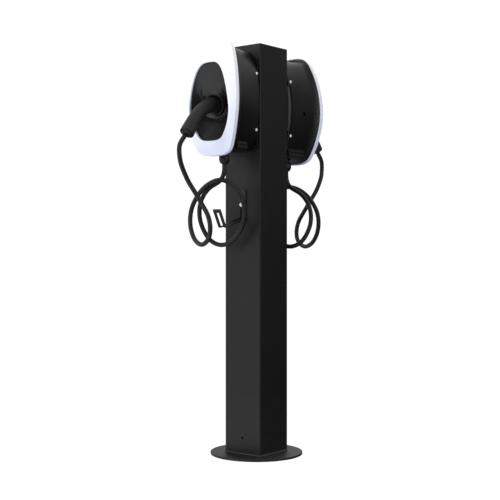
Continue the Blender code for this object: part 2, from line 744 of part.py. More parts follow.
# ---------------------------------------------------------------- connector
GRIP_KNOTS = (              # (out, z) of the grip's centre line
    (.1995, 1.1860), (.2248, 1.1802), (.2521, 1.1739), (.2755, 1.1625), (.2980, 1.1470),
    (.3165, 1.1295), (.3345, 1.1070), (.3584, 1.0744))
GRIP_LINE = smooth_line([in_mid_plane(*knot) for knot in GRIP_KNOTS], 10)
GRIP_END = len(GRIP_LINE) - 1
NOSE_R, WAIST_R, TAIL_R = 0.0255, 0.0212, 0.0240    # grip radii along the line
WAIST_AT = .62              # part of the line's length
GRIP_WALL = .0030
GRIP_SIDES = 16
BLOCK_R, BLOCK_HALF = .0174, .0040
# (radius, height)
NOSE_PROFILE = (
    (.0212, .0320), (.0219, .0310), (.0219, -.0110), (.0170, -.0110), (.0170, -.0080),
    (.0180, -.0060), (.0180, .0320))
RELIEF_PROFILE = (
    (.0098, -.0030), (.0130, -.0030), (.0200, -.0060), (.0200, -.0140), (.0098, -.0140))
PINS = (                    # x, y, radius
    (-.0078, .0068, .0020), (.0078, .0068, .0020), (0, -.0090, .0018), (-.0106, -.0042, .0015),
    (.0106, -.0042, .0015))


def grip_heading(i):
    return (GRIP_LINE[min(i + 1, GRIP_END)] - GRIP_LINE[max(i - 1, 0)]).normalized()


def grip_radius(part):
    if part < WAIST_AT:
        start, end, s = NOSE_R, WAIST_R, part / WAIST_AT
    else:
        start, end, s = WAIST_R, TAIL_R, (part - WAIST_AT) / (1 - WAIST_AT)
    s = s * s * (3 - 2 * s)
    return start * (1 - s) + end * s


def grip_section(i, inset):
    """Round section of the grip at a station of its line."""
    radius = grip_radius(i / GRIP_END) - inset
    across = Vector((1, 0, 0))
    upright = grip_heading(i).cross(across)
    angles = [2 * math.pi * j / GRIP_SIDES for j in range(GRIP_SIDES)]
    return [GRIP_LINE[i] + across * (radius * math.cos(a)) + upright * (radius * math.sin(a))
            for a in angles]


def build_grip(side):
    """Curved shell: out along its outer face, back along its inner face."""
    loops = [grip_section(i, 0) for i in range(GRIP_END + 1)]
    loops += [grip_section(i, GRIP_WALL) for i in range(GRIP_END, -1, -1)]
    add_side("grip", side, lofted(loops), "grip_black")


def build_plug(side):
    """Plug nose with its insulator and pins, inside the holster."""
    stand = along(-grip_heading(0), GRIP_LINE[0])
    nose = placed(turned(NOSE_PROFILE, 18, closed=True), stand)
    add_side("plug_nose", side, nose, "nose_black")
    disc = rod(BLOCK_R, *(stand @ Vector((0, 0, z)) for z in (-BLOCK_HALF, BLOCK_HALF)))
    block = add_side("contact_block", side, disc, "contact_block")
    pins = []
    for x, y, radius in PINS:
        profile = ((0, .0270), (radius * .6, .0270), (radius, .0255), (radius, 0), (0, 0))
        pins.append(placed(turned(profile, 8), stand @ Matrix.Translation((x, y, 0))))
    boolean(block, side_cutter("pins", side, joined(pins)), "pins", 'UNION')


def build_strain_relief(side):
    """Ring closing the grip's tail round the lead."""
    stand = along(grip_heading(GRIP_END), GRIP_LINE[GRIP_END])
    mesh = placed(turned(RELIEF_PROFILE, closed=True), stand)
    add_side("strain_relief", side, mesh, "relief_black")


def hang_on_pivot(side):
    """Give the connector and its lead one origin at the mouth, to slide as one."""
    pivot = bpy.data.objects.new(f"connector_axis_{side}", None)
    pivot.empty_display_size = .03
    pivot.location = TURN[side] @ DOCK_MOUTH
    post_coll.objects.link(pivot)
    for piece in ("grip", "plug_nose", "contact_block", "pins", "strain_relief", "cable_lead"):
        obj = bpy.data.objects[f"{piece}_{side}"]
        obj.data.transform(Matrix.Translation(-pivot.location))
        obj.parent = pivot


# ---------------------------------------------------------------- strap hook
HOOK_W, HOOK_T, HOOK_SLOT = 0.0335, 0.0035, 0.0110
HOOK_TOP, HOOK_BEND_Z, HOOK_BEND_R = 0.9060, 0.8090, .0060
HOOK_OUT = POST_HALF + GAP
HOOK_ARM = {                # (out, z) of the arm's toe and of its tip
    "a": ((0.1822, 0.7749), (0.2130, 0.8356)),
    "b": ((0.1180, 0.7950), (0.1430, 0.8420))}      # the rear hook is the short one
SLOT_BELOW_BOLT, SLOT_FROM_TIP = .0120, .0130
HOOK_BOLT_PROFILE = (
    (0, .0052), (.0030, .0052), (.0062, .0040), (.0078, .0006), (.0078, 0), (.0041, 0),
    (.0041, -.0140), (0, -.0140))


def rounded(path, radius, steps=5):
    """The path with its inner corners rounded."""
    line = [path[0]]
    for before, corner, after in zip(path, path[1:], path[2:]):
        back, ahead = (before - corner).normalized(), (after - corner).normalized()
        half_angle = back.angle(ahead) / 2
        trim = radius / math.tan(half_angle)
        centre = corner + (back + ahead).normalized() * (radius / math.sin(half_angle))
        first = (corner + back * trim - centre).normalized()
        last = (corner + ahead * trim - centre).normalized()
        line += [centre + first.slerp(last, k / steps) * radius for k in range(steps + 1)]
    return line + [path[-1]]


def build_hook(side, hook_cut):
    """Wall leaf, arm and upturned tip in one strap: two rails either side of a long slot,
    joined by solid ends."""
    toe, tip = (in_mid_plane(*place) for place in HOOK_ARM[side])
    line = rounded([in_mid_plane(HOOK_OUT, HOOK_TOP), in_mid_plane(HOOK_OUT, HOOK_BEND_Z),
                    toe, tip], HOOK_BEND_R)
    slot_top = in_mid_plane(HOOK_OUT, HOOK_BOLT_Z - SLOT_BELOW_BOLT)
    slot_end = tip - (tip - toe).normalized() * SLOT_FROM_TIP
    line = [line[0], slot_top, *line[1:-1], slot_end, tip]
    verts = [(x, p.y, p.z) for p in line
             for x in (-HOOK_W / 2, -HOOK_SLOT / 2, HOOK_SLOT / 2, HOOK_W / 2)]
    rows = len(line) - 1
    faces = []
    for row in range(rows):
        for column in range(3):
            if column == 1 and 1 <= row < rows - 1:
                continue    # the slot
            i = row * 4 + column
            faces.append((i, i + 1, i + 5, i + 4))
    # normals of the wall leaf face the column, so the strap thickens away from it
    mesh = faced(verts, faces, lambda c: Vector((0, float(c.z > HOOK_BOLT_Z), 0)))
    hook = add_side("cable_hook", side, mesh, "hook_paint")
    thicken(hook, HOOK_T)
    boolean(hook, hook_cut)


def build_hook_bolt(side):
    stand = along((0, -1, 0), (0, -(HOOK_OUT + HOOK_T + GAP), HOOK_BOLT_Z))
    mesh = placed(turned(HOOK_BOLT_PROFILE, 16), stand)
    add_side("hook_bolt", side, mesh, "hook_bolt_steel")


# ---------------------------------------------------------------- assembly
def build_post(wire_cut, hook_cut):
    lock_hole = rod(LOCK_HOLE_R, (0, -LOCK_HOLE_Y, LOCK_Z), (0, LOCK_HOLE_Y, LOCK_Z), 12)
    lock_cut = cutter("lock_cut", lock_hole)
    build_foot_plate()
    build_anchors()
    build_socket(lock_cut)
    build_column(wire_cut, hook_cut, lock_cut)
    build_trim()
    build_lock_screws()


def build_charger(side, wire_cut, hook_cut):
    side_cut = side_cutter("side_cut", side, joined([
        rod(SIDE_HOLE_R, (-SIDE_HOLE_X, -out, z), (SIDE_HOLE_X, -out, z), 12)
        for _, z, out, _, _ in SIDE_SCREWS]))
    build_back_plate(side, wire_cut, side_cut)
    build_casing(side, side_cut)
    for build in (build_side_screws, build_bezel, build_seal, build_fascia, build_holster,
                  build_electrics, build_gland, build_cables, build_grip, build_plug,
                  build_strain_relief, hang_on_pivot):
        build(side)
    build_hook(side, hook_cut)
    build_hook_bolt(side)


wire_holes = wall_holes("wire_cut", WIRE_R, WIRE_Z, 20)
hook_holes = wall_holes("hook_cut", HOOK_HOLE_R, HOOK_BOLT_Z, 12)
build_post(wire_holes, hook_holes)
for charger_side in ("a", "b"):
    build_charger(charger_side, wire_holes, hook_holes)
bpy.context.view_layer.update()
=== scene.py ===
"""Dual charging pedestal: a square post on a round foot, with two chargers back to back.

Each charger has a casing with a white bezel, a dished fascia holding the connector, a hanging
cable and a strap hook.  Metres, +Z up, the post's axis on Z.  Charger "a" faces -Y; charger "b"
is the same shape given a half turn and set slightly lower.
"""
import bpy
import bmesh
import math
from mathutils import Matrix, Vector


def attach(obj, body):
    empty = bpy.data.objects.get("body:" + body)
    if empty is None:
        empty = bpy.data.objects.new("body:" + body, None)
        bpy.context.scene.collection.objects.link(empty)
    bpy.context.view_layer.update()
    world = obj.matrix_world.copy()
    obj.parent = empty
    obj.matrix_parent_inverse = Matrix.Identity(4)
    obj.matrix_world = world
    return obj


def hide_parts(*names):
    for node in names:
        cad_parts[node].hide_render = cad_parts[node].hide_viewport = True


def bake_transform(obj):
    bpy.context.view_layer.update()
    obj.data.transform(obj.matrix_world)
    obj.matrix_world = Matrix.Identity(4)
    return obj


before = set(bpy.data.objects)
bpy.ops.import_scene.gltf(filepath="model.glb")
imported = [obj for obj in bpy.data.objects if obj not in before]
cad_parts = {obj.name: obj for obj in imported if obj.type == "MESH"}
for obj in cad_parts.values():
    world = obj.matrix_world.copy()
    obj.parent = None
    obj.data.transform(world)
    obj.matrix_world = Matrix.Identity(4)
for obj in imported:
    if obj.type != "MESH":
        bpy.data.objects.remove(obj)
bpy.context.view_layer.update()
scene = bpy.context.scene

# ================================================================ dimensions
# Chargers are drawn as "a": x to the right as seen from the front, "out" the distance from the
# post's axis towards -Y, z up.

# ---- foot and post
FOOT_RADIUS, FOOT_THICK, FOOT_BORE, FOOT_EDGE_ROUND = .15875, .0080, .0300, .0016
ANCHOR_OFFSET, ANCHOR_HOLE_RADIUS = .0380, .0075
POST_HALF, POST_CORNER, POST_WALL, POST_TOP = .0767, .0040, .0048, 1.3970
POST_FOOT = FOOT_THICK + .0008
LOCK_Z, LOCK_HOLE_RADIUS = .0633, .0046
WIRE_Z, WIRE_RADIUS = 1.2000, .0150

# ---- the two sides
SIGN = {"a": -1, "b": 1}                       # way each charger faces along Y
CONNECTOR = {"a": "connector_front", "b": "connector_rear"}
REAR_DROP = .0050
DROP = {"a": 0, "b": REAR_DROP}
TURN = {"a": Matrix(),
        "b": Matrix.Translation((0, 0, -REAR_DROP)) @ Matrix.Rotation(math.pi, 4, 'Z')}

# ---- back plate
PLATE_BACK, PLATE_FRONT, PLATE_HALF, PLATE_LOW, PLATE_HIGH = .0772, .0835, .0705, 1.050, 1.330
CHEEK_MID, CHEEK_HALF, CHEEK_BACK = 1.1985, .0770, .0820
CHEEK_BOW = .0047                              # extra depth of a cheek at mid height

# ---- casing
CASE_BACK, CASE_WALL = .0845, .0024
CASE_MID_Z = 1.2
FLARE_DEPTH, FLARE_INSET = .036, .0112
GLAND_OUT, GLAND_HOLE_RADIUS = .1720, .0112
SIDE_SCREWS = (("upper", 1.2915, .0950, .0764),          # label, z, out, x
               ("lower", 1.1040, .0955, .0761))
VENT_OUT, VENT_Z, VENT_X = .1540, 1.1847, .0868          # on the casing's left side
PAD_LOW, PAD_HIGH, PAD_FRONT, PAD_X = 1.0385, 1.0605, .186, .0708
PAD_BACK = ((1, .135), (-1, .094))                       # side of x, out at the rear end

# ---- bezel and fascia: both fronts bow in z
BEZEL_MID_Z, BEZEL_OUT, BEZEL_BOW, BEZEL_DEEP = 1.190, .2440, .62, .0162
FACE_MID_Z, FACE_OUT, FACE_BOW = 1.225, .2545, .45

# Right halves of the closed outlines, top to bottom: x, z.
HALF_STATIONS = 60
STATIONS = 2 * HALF_STATIONS
BEZEL_EDGE = (
    (0, 1.3955), (.030, 1.3948), (.050, 1.3910), (.0665, 1.3800), (.0777, 1.3600),
    (.0930, 1.3200), (.1063, 1.2600), (.1115, 1.1950), (.1062, 1.1400), (.0915, 1.0800),
    (.0835, 1.0600), (.0760, 1.0400), (.0665, 1.0260), (.0450, 1.0152), (.0230, 1.0123),
    (0, 1.0118))
OPENING = (
    (0, 1.3175), (.022, 1.3165), (.036, 1.3105), (.0535, 1.2900), (.0688, 1.2500),
    (.0800, 1.2000), (.0833, 1.1600), (.0789, 1.1300), (.0671, 1.1000), (.0480, 1.0710),
    (.0310, 1.0625), (0, 1.0605))
CASE_LIP = (
    (0, 1.3868), (.030, 1.3860), (.052, 1.3820), (.0655, 1.3735), (.0755, 1.3560),
    (.0905, 1.3180), (.1038, 1.2590), (.1090, 1.1950), (.1036, 1.1410), (.0889, 1.0820),
    (.0809, 1.0620), (.0733, 1.0435), (.0642, 1.0305), (.0430, 1.0205), (.0220, 1.0182),
    (0, 1.0178))
CASE_REAR = (
    (0, 1.3780), (.018, 1.3760), (.0356, 1.3660), (.0529, 1.3470), (.0701, 1.3060),
    (.0775, 1.2700), (.0815, 1.1950), (.0775, 1.1300), (.0715, 1.0900), (.0640, 1.0650),
    (.0520, 1.0460), (.0356, 1.0350), (0, 1.0330))

# ---- connector mouth: its axis points out and down
MOUTH_TILT = math.radians(13)
MOUTH_AXIS = Vector((0, -math.cos(MOUTH_TILT), -math.sin(MOUTH_TILT)))
MOUTH_UP = Vector((0, -math.sin(MOUTH_TILT), math.cos(MOUTH_TILT)))
MOUTH = Vector((0, -.2190, 1.1815))
SLEEVE_RADIUS, SLEEVE_BORE = .0345, .0285

# Rims round the mouth, inside to outside.  Hood above it: radius, distance along the axis.
HOOD_RIM = (
    (.0362, -.0140), (.0362, -.0062), (.0354, -.0048), (.0316, -.0034), (.0308, -.0024),
    (.0306, -.0010), (.0311, .0000), (.0322, .0008), (.0336, .0014), (.0350, .0018),
    (.0362, .0021), (.0374, .0023))
# Sides and lip below: radius, share of the lip's width, along the axis, extra when lifted.
SIDE_RIM = (
    (.0362, 0, -.0140, 0), (.0362, 0, -.0062, 0), (.0362, 0, -.0050, 0), (.0364, 0, -.0042, 0),
    (.0368, 0, -.0038, .0004), (.0372, .25, -.0030, .0018), (.0370, .6, -.0014, .0032),
    (.0368, 1, .0003, .0040), (.0373, 1, .0008, .0041), (.0379, 1, .0002, .0038),
    (.0383, 1, -.0018, .0026))

# ---- grip: radii at the nose, the waist and the tail; centre line as out, z
GRIP_NOSE, GRIP_WAIST, GRIP_TAIL, GRIP_WALL = .0255, .0212, .0240, .0030
GRIP_LINE = ((.1995, 1.1860), (.2248, 1.1802), (.2521, 1.1739), (.2755, 1.1625),
             (.2980, 1.1470), (.3165, 1.1295), (.3345, 1.1070), (.3584, 1.0744))
GRIP_LAST = 80                                 # last station along the grip

# ---- cable, grip to gland: x, out, z
CABLE_RADIUS, CABLE_STATIONS = .00775, 520
LEAD = (
    (-.003, .369, 1.0605), (-.004, .384, 1.043), (-.001, .393, 1.026), (-.003, .388, 1.000),
    (-.011, .373, .977), (-.015, .337, .927), (-.005, .309, .885), (.011, .297, .850),
    (.037, .296, .812), (.049, .299, .772), (.036, .293, .738))
COIL = (
    (-.007, .276, .719), (-.060, .252, .736), (-.094, .236, .781), (-.097, .229, .835),
    (-.072, .226, .882), (-.038, .219, .916), (-.001, .204, .934), (.018, .184, .931),
    (.035, .154, .908), (.047, .131, .864), (.046, .120, .820), (.031, .116, .781),
    (.004, .116, .746), (-.035, .121, .721), (-.069, .129, .721), (-.095, .145, .743),
    (-.106, .169, .791), (-.095, .190, .836), (-.074, .201, .874), (-.044, .199, .909),
    (-.016, .186, .926), (-.004, .177, .941), (.001, GLAND_OUT, .968), (0, GLAND_OUT, .990),
    (0, GLAND_OUT, 1.050))

# ---- strap hook
HOOK_WIDTH, HOOK_THICK, HOOK_SLOT, HOOK_BEND = .0335, .0035, .0110, .0060
HOOK_TOP, HOOK_BOLT_Z, HOOK_BEND_Z, HOOK_HOLE_RADIUS = .9060, .8560, .8090, .0048
HOOK_BACK = POST_HALF + .0004
HOOK_SLOT_TOP, HOOK_SLOT_END = HOOK_BOLT_Z - .0120, .0130    # slot end: distance from the tip
HOOK_ARM = {"a": ((.1822, .7749), (.2130, .8356)),       # elbow and tip: out, z
            "b": ((.1180, .7950), (.1430, .8420))}


# ================================================================ curves and outlines
def step(x, low, high):
    """Smooth 0 to 1 as x goes from low to high."""
    t = min(max((x - low) / (high - low), 0.0), 1.0)
    return t * t * (3 - 2 * t)


def blend(a, b, t):
    return a * (1 - t) + b * t


def ahead(out, z):
    return Vector((0, -out, z))


def smooth_line(knots, count, fine=16):
    """`count` evenly spaced points on a smooth curve through the knots."""
    knots = [Vector(p) for p in knots]
    knots = [knots[0] * 2 - knots[1]] + knots + [knots[-1] * 2 - knots[-2]]
    dense = []
    for i in range(1, len(knots) - 2):
        p0, p1, p2, p3 = knots[i - 1:i + 3]
        for s in range(fine):
            t = s / fine
            dense.append(0.5 * ((2 * p1) + (p2 - p0) * t
                                + (2 * p0 - 5 * p1 + 4 * p2 - p3) * t * t
                                + (3 * p1 - p0 - 3 * p2 + p3) * t * t * t))
    dense.append(knots[-2])
    run = [0.0]
    for a, b in zip(dense, dense[1:]):
        run.append(run[-1] + (b - a).length)
    line, j = [], 0
    for k in range(count):
        target = run[-1] * k / (count - 1)
        while j < len(run) - 2 and run[j + 1] < target:
            j += 1
        share = (target - run[j]) / max(run[j + 1] - run[j], 1e-12)
        line.append(dense[j].lerp(dense[j + 1], min(share, 1.0)))
    return line


def relax(points, rounds):
    """Evens out the bends of an open line, ends kept."""
    for _ in range(rounds):
        inner = [points[i] * .5 + (points[i - 1] + points[i + 1]) * .25
                 for i in range(1, len(points) - 1)]
        points = [points[0]] + inner + [points[-1]]
    return points


def outline(half, grow=0.0):
    """Closed (x, z) outline from its right half, eased, then moved outwards by `grow`."""
    right = smooth_line([(x, 0, z) for x, z in half], HALF_STATIONS + 1)
    right[0].x = right[-1].x = 0.0
    loop = [(p.x, p.z) for p in right] + [(-p.x, p.z) for p in reversed(right[1:-1])]
    count = len(loop)
    for _ in range(3):
        loop = [tuple(.5 * loop[i][axis] + .25 * (loop[i - 1][axis] + loop[(i + 1) % count][axis])
                      for axis in (0, 1)) for i in range(count)]
    if not grow:
        return loop
    moved = []
    for i, (x, z) in enumerate(loop):
        (x0, z0), (x1, z1) = loop[i - 1], loop[(i + 1) % count]
        run_x, run_z = x1 - x0, z1 - z0
        length = math.hypot(run_x, run_z)
        moved.append((x - grow * run_z / length, z + grow * run_x / length))
    return moved


def bezel_out(z):
    return BEZEL_OUT - BEZEL_BOW * (z - BEZEL_MID_Z) ** 2


def face_out(z):
    return FACE_OUT - FACE_BOW * (z - FACE_MID_Z) ** 2


def lip_out(z):
    return bezel_out(z) - BEZEL_DEEP - .0012


def laid_on(surface, loop, depth=0.0):
    """The (x, z) loop set `depth` behind a bowed front."""
    return [(x, -(surface(z) - depth), z) for x, z in loop]


def flat_at(out, loop):
    return [(x, -out, z) for x, z in loop]


def level_at(z, loop):
    return [(x, y, z) for x, y in loop]


def rounded_square(half, radius, steps=8):
    points = []
    for k, (sx, sy) in enumerate(((1, 1), (-1, 1), (-1, -1), (1, -1))):
        for i in range(steps + 1):
            angle = math.pi / 2 * (k + i / steps)
            points.append((sx * (half - radius) + radius * math.cos(angle),
                           sy * (half - radius) + radius * math.sin(angle)))
    return points


def hexagon(corner, angle):
    """Radius of a hexagon at an angle, from its corner radius."""
    from_flat = (angle + math.pi / 6) % (math.pi / 3) - math.pi / 6
    return corner * math.cos(math.pi / 6) / math.cos(from_flat)


def frames_on(points):
    """(point, tangent, across, across) along a line, carried without twist."""
    frames = []
    u = Vector((1, 0, 0))
    for i, p in enumerate(points):
        t = (points[min(i + 1, len(points) - 1)] - points[max(i - 1, 0)]).normalized()
        u = (u - t * u.dot(t)).normalized()
        frames.append((p, t, u, t.cross(u)))
    return frames


def circle_on(station, radius, count, shift=0.0):
    p, t, u, v = station
    angles = [2 * math.pi * j / count for j in range(count)]
    return [p + t * shift + u * (radius * math.cos(a)) + v * (radius * math.sin(a))
            for a in angles]


def along(direction, at):
    """Matrix that puts +Z on a direction and the origin at a point."""
    turn = Vector(direction).normalized().to_track_quat('Z', 'Y')
    return Matrix.Translation(at) @ turn.to_matrix().to_4x4()


# ================================================================ mesh building
def mesh_object(name, verts, faces, smooth=True):
    mesh = bpy.data.meshes.new(name)
    mesh.from_pydata([tuple(v) for v in verts], [], faces)
    mesh.validate()
    ob = bpy.data.objects.new(name, mesh)
    scene.collection.objects.link(ob)
    for face in mesh.polygons:
        face.use_smooth = smooth
    return ob


def outward(ob):
    bm = bmesh.new()
    bm.from_mesh(ob.data)
    bmesh.ops.recalc_face_normals(bm, faces=bm.faces)
    bm.to_mesh(ob.data)
    bm.free()
    return ob


def aim_normals(ob, lean):
    """Flips an open sheet if its faces' area-weighted `lean` is negative."""
    if sum(lean(face) * face.area for face in ob.data.polygons) < 0:
        ob.data.flip_normals()


def sharpen(ob, degrees=32):
    ob.data.shade_smooth()
    ob.data.set_sharp_from_angle(angle=math.radians(degrees))
    return ob


def modify(ob, kind, **settings):
    """Adds a modifier and applies it."""
    modifier = ob.modifiers.new(kind.lower(), kind)
    for key, value in settings.items():
        setattr(modifier, key, value)
    depsgraph = bpy.context.evaluated_depsgraph_get()
    depsgraph.update()
    mesh = bpy.data.meshes.new_from_object(ob.evaluated_get(depsgraph))
    mesh.name = ob.name
    old = ob.data
    ob.modifiers.clear()
    ob.data = mesh
    bpy.data.meshes.remove(old)


def thicken(ob, thickness):
    """Gives a sheet a wall on the side its normals point away from."""
    modify(ob, 'SOLIDIFY', thickness=thickness, offset=-1)


def loft(name, loops, closed=False, capped=False):
    """Skin over loops of equal length; `closed` joins the last loop to the first."""
    count, rows = len(loops[0]), len(loops)
    faces = []
    for r in range(rows if closed else rows - 1):
        a, b = r * count, ((r + 1) % rows) * count
        for i in range(count):
            j = (i + 1) % count
            faces.append((a + i, a + j, b + j, b + i))
    if capped:
        faces.append(tuple(range(count)))
        faces.append(tuple((rows - 1) * count + i for i in reversed(range(count))))
    ob = mesh_object(name, [p for loop in loops for p in loop], faces)
    if closed or capped:
        outward(ob)
    return ob


def add_ring(verts, radius, z, count, radius_at=None):
    """Adds a ring of vertices round Z, one vertex at radius 0; gives their indices."""
    first = len(verts)
    if radius < 1e-7:
        verts.append(Vector((0, 0, z)))
        return [first]
    for i in range(count):
        a = 2 * math.pi * i / count
        r = radius_at(radius, z, a) if radius_at else radius
        verts.append(Vector((r * math.cos(a), r * math.sin(a), z)))
    return list(range(first, first + count))


def ring_solid(name, verts, rings, count, at, closed=False, sharp=32):
    faces = []
    for k in range(len(rings) if closed else len(rings) - 1):
        a, b = rings[k], rings[(k + 1) % len(rings)]
        for i in range(count):
            j = (i + 1) % count
            if len(a) == 1:
                faces.append((a[0], b[i], b[j]))
            elif len(b) == 1:
                faces.append((a[i], a[j], b[0]))
            else:
                faces.append((a[i], a[j], b[j], b[i]))
    ob = mesh_object(name, [at @ v for v in verts], faces)
    return sharpen(outward(ob), sharp)


def turned(name, profile, count, at=Matrix(), closed=True, radius_at=None):
    """A (radius, height) profile carried round Z."""
    verts = []
    rings = [add_ring(verts, r, z, count, radius_at) for r, z in profile]
    return ring_solid(name, verts, rings, count, at, closed)


def socket_head(name, at, radius, height, key, shank_radius, shank, count=40):
    """A domed-head screw with a hexagon key recess, +Z out of the head."""
    profile = [(0, -shank), (shank_radius, -shank), (shank_radius, 0), (radius * .96, 0),
               (radius, height * .08), (radius * .985, height * .28)]
    for k in range(1, 6):
        f = k / 6
        profile.append((radius * (.985 - (.985 - .62) * f),
                        height * (.28 + .72 * math.sin(f * math.pi / 2))))
    profile += [(radius * .56, height), (key * 1.16, height)]
    verts = []
    rings = [add_ring(verts, r, z, count) for r, z in reversed(profile)]
    for z in (height * .97, height - key * .9):
        rings.insert(0, add_ring(verts, key, z, count, lambda r, z, a: hexagon(r, a)))
    rings.insert(0, add_ring(verts, 0, height - key * 1.05, count))
    return ring_solid(name, verts, rings, count, at, sharp=35)


def tube(name, frames):
    loops = [circle_on(station, CABLE_RADIUS, 24) for station in frames]
    return sharpen(loft(name, loops, capped=True), 50)


def rod_solid(radius, start, end, count=24):
    start, end = Vector(start), Vector(end)
    place = along(end - start, start)
    angles = [2 * math.pi * i / count for i in range(count)]
    verts = [place @ Vector((radius * math.cos(a), radius * math.sin(a), z))
             for z in (0, (end - start).length) for a in angles]
    faces = [(i, (i + 1) % count, count + (i + 1) % count, count + i) for i in range(count)]
    faces += [tuple(reversed(range(count))), tuple(range(count, 2 * count))]
    return verts, faces


def prism(sections):
    """A closed solid through sections of equal length."""
    verts = [Vector(p) for section in sections for p in section]
    rows, count = len(sections), len(sections[0])
    faces = [tuple(range(count)),
             tuple(count * (rows - 1) + i for i in reversed(range(count)))]
    for a in range(0, count * (rows - 1), count):
        faces += [(a + i, a + (i + 1) % count, a + count + (i + 1) % count, a + count + i)
                  for i in range(count)]
    return verts, faces


def carve(ob, solids, operation='DIFFERENCE'):
    """Cuts closed (verts, faces) solids out of a piece, or joins them on."""
    verts, faces = [], []
    for solid_verts, solid_faces in solids:
        faces += [tuple(i + len(verts) for i in face) for face in solid_faces]
        verts += solid_verts
    tool = outward(mesh_object("carve", verts, faces, smooth=False))
    modify(ob, 'BOOLEAN', operation=operation, solver='EXACT', object=tool)
    bpy.data.objects.remove(tool, do_unlink=True)


def drill(ob, rods):
    """Drills holes given as (radius, start, end)."""
    carve(ob, [rod_solid(*rod) for rod in rods])


# ================================================================ shader nodes
class Nodes:
    """Short ways to add and join nodes in one tree."""

    def __init__(self, tree):
        self.tree = tree

    def node(self, kind, **settings):
        node = self.tree.nodes.new(kind)
        for key, value in settings.items():
            setattr(node, key, value)
        return node

    def feed(self, socket, value):
        """Sets a socket to a number or a colour, or links an output into it."""
        if isinstance(value, tuple):
            socket.default_value = (*value, 1)
        elif isinstance(value, (int, float)):
            socket.default_value = value
        else:
            self.tree.links.new(value, socket)

    def maths(self, operation, *values, clamp=False):
        node = self.node("ShaderNodeMath", operation=operation, use_clamp=clamp)
        for socket, value in zip(node.inputs, values):
            self.feed(socket, value)
        return node.outputs[0]

    def times(self, a, b, clamp=False):
        return self.maths('MULTIPLY', a, b, clamp=clamp)

    def remap(self, value, start=0, end=1, low=0, high=1, smooth=False):
        """Maps start..end to low..high."""
        node = self.node("ShaderNodeMapRange")
        if smooth:
            node.interpolation_type = 'SMOOTHSTEP'
        for key, number in (("From Min", start), ("From Max", end),
                            ("To Min", low), ("To Max", high)):
            node.inputs[key].default_value = number
        self.feed(node.inputs["Value"], value)
        return node.outputs["Result"]

    def mix_shader(self, fac, a, b):
        node = self.node("ShaderNodeMixShader")
        for socket, value in zip(node.inputs, (fac, a, b)):
            self.feed(socket, value)
        return node.outputs[0]


class Finish(Nodes):
    """A Principled material on object coordinates."""

    def __init__(self, name, colour, rough, metallic=0):
        self.material = bpy.data.materials.new(name)
        self.material.use_nodes = True
        self.material.diffuse_color = (*colour, 1)
        super().__init__(self.material.node_tree)
        self.shader = self.tree.nodes["Principled BSDF"]
        self.set("Metallic", metallic)
        self.set("Roughness", rough)
        self.coords = self.node("ShaderNodeTexCoord").outputs["Object"]
        self.normal = None

    def set(self, key, value):
        self.feed(self.shader.inputs[key], value)

    def noise(self, scale, detail=4.0, roughness=.55, stretch=None):
        node = self.node("ShaderNodeTexNoise")
        self.feed(node.inputs["Scale"], scale)
        self.feed(node.inputs["Detail"], detail)
        self.feed(node.inputs["Roughness"], roughness)
        source = self.coords
        if stretch:
            mapping = self.node("ShaderNodeMapping")
            mapping.inputs["Scale"].default_value = stretch
            self.feed(mapping.inputs["Vector"], source)
            source = mapping.outputs["Vector"]
        self.feed(node.inputs["Vector"], source)
        return node.outputs["Fac"]

    def between(self, fac, low, high):
        """Black below low, white above high."""
        node = self.node("ShaderNodeValToRGB")
        for stop, position, grey in zip(node.color_ramp.elements, (low, high), (0.0, 1.0)):
            stop.position = position
            stop.color = (grey, grey, grey, 1)
        self.feed(node.inputs["Fac"], fac)
        return node.outputs["Color"]

    def mix(self, fac, a, b):
        node = self.node("ShaderNodeMix", data_type='RGBA', blend_type='MIX')
        for index, value in ((0, fac), (6, a), (7, b)):      # factor and the colour sockets
            self.feed(node.inputs[index], value)
        return node.outputs[2]

    def edge(self, radius, gain=9.0):
        """1 on edges, 0 on flats: how far a rounded normal leans from the true one."""
        bevel = self.node("ShaderNodeBevel", samples=4)
        bevel.inputs["Radius"].default_value = radius
        geometry = self.node("ShaderNodeNewGeometry")
        dot = self.node("ShaderNodeVectorMath", operation='DOT_PRODUCT')
        self.feed(dot.inputs[0], bevel.outputs["Normal"])
        self.feed(dot.inputs[1], geometry.outputs["Normal"])
        lean = self.maths('SUBTRACT', 1.0, dot.outputs["Value"])
        return self.times(lean, gain, clamp=True)

    def position(self):
        split = self.node("ShaderNodeSeparateXYZ")
        self.feed(split.inputs[0], self.coords)
        return split.outputs

    def roughness(self, fac, rough):
        self.set("Roughness", self.remap(fac, low=rough[0], high=rough[1]))

    def bump(self, height, strength, distance):
        """Adds a bump on top of those before."""
        node = self.node("ShaderNodeBump")
        self.feed(node.inputs["Strength"], strength)
        self.feed(node.inputs["Distance"], distance)
        self.feed(node.inputs["Height"], height)
        if self.normal:
            self.feed(node.inputs["Normal"], self.normal)
        self.normal = node.outputs["Normal"]
        self.set("Normal", self.normal)


def tint(colour, gain):
    return tuple(min(1.0, x * gain) for x in colour)


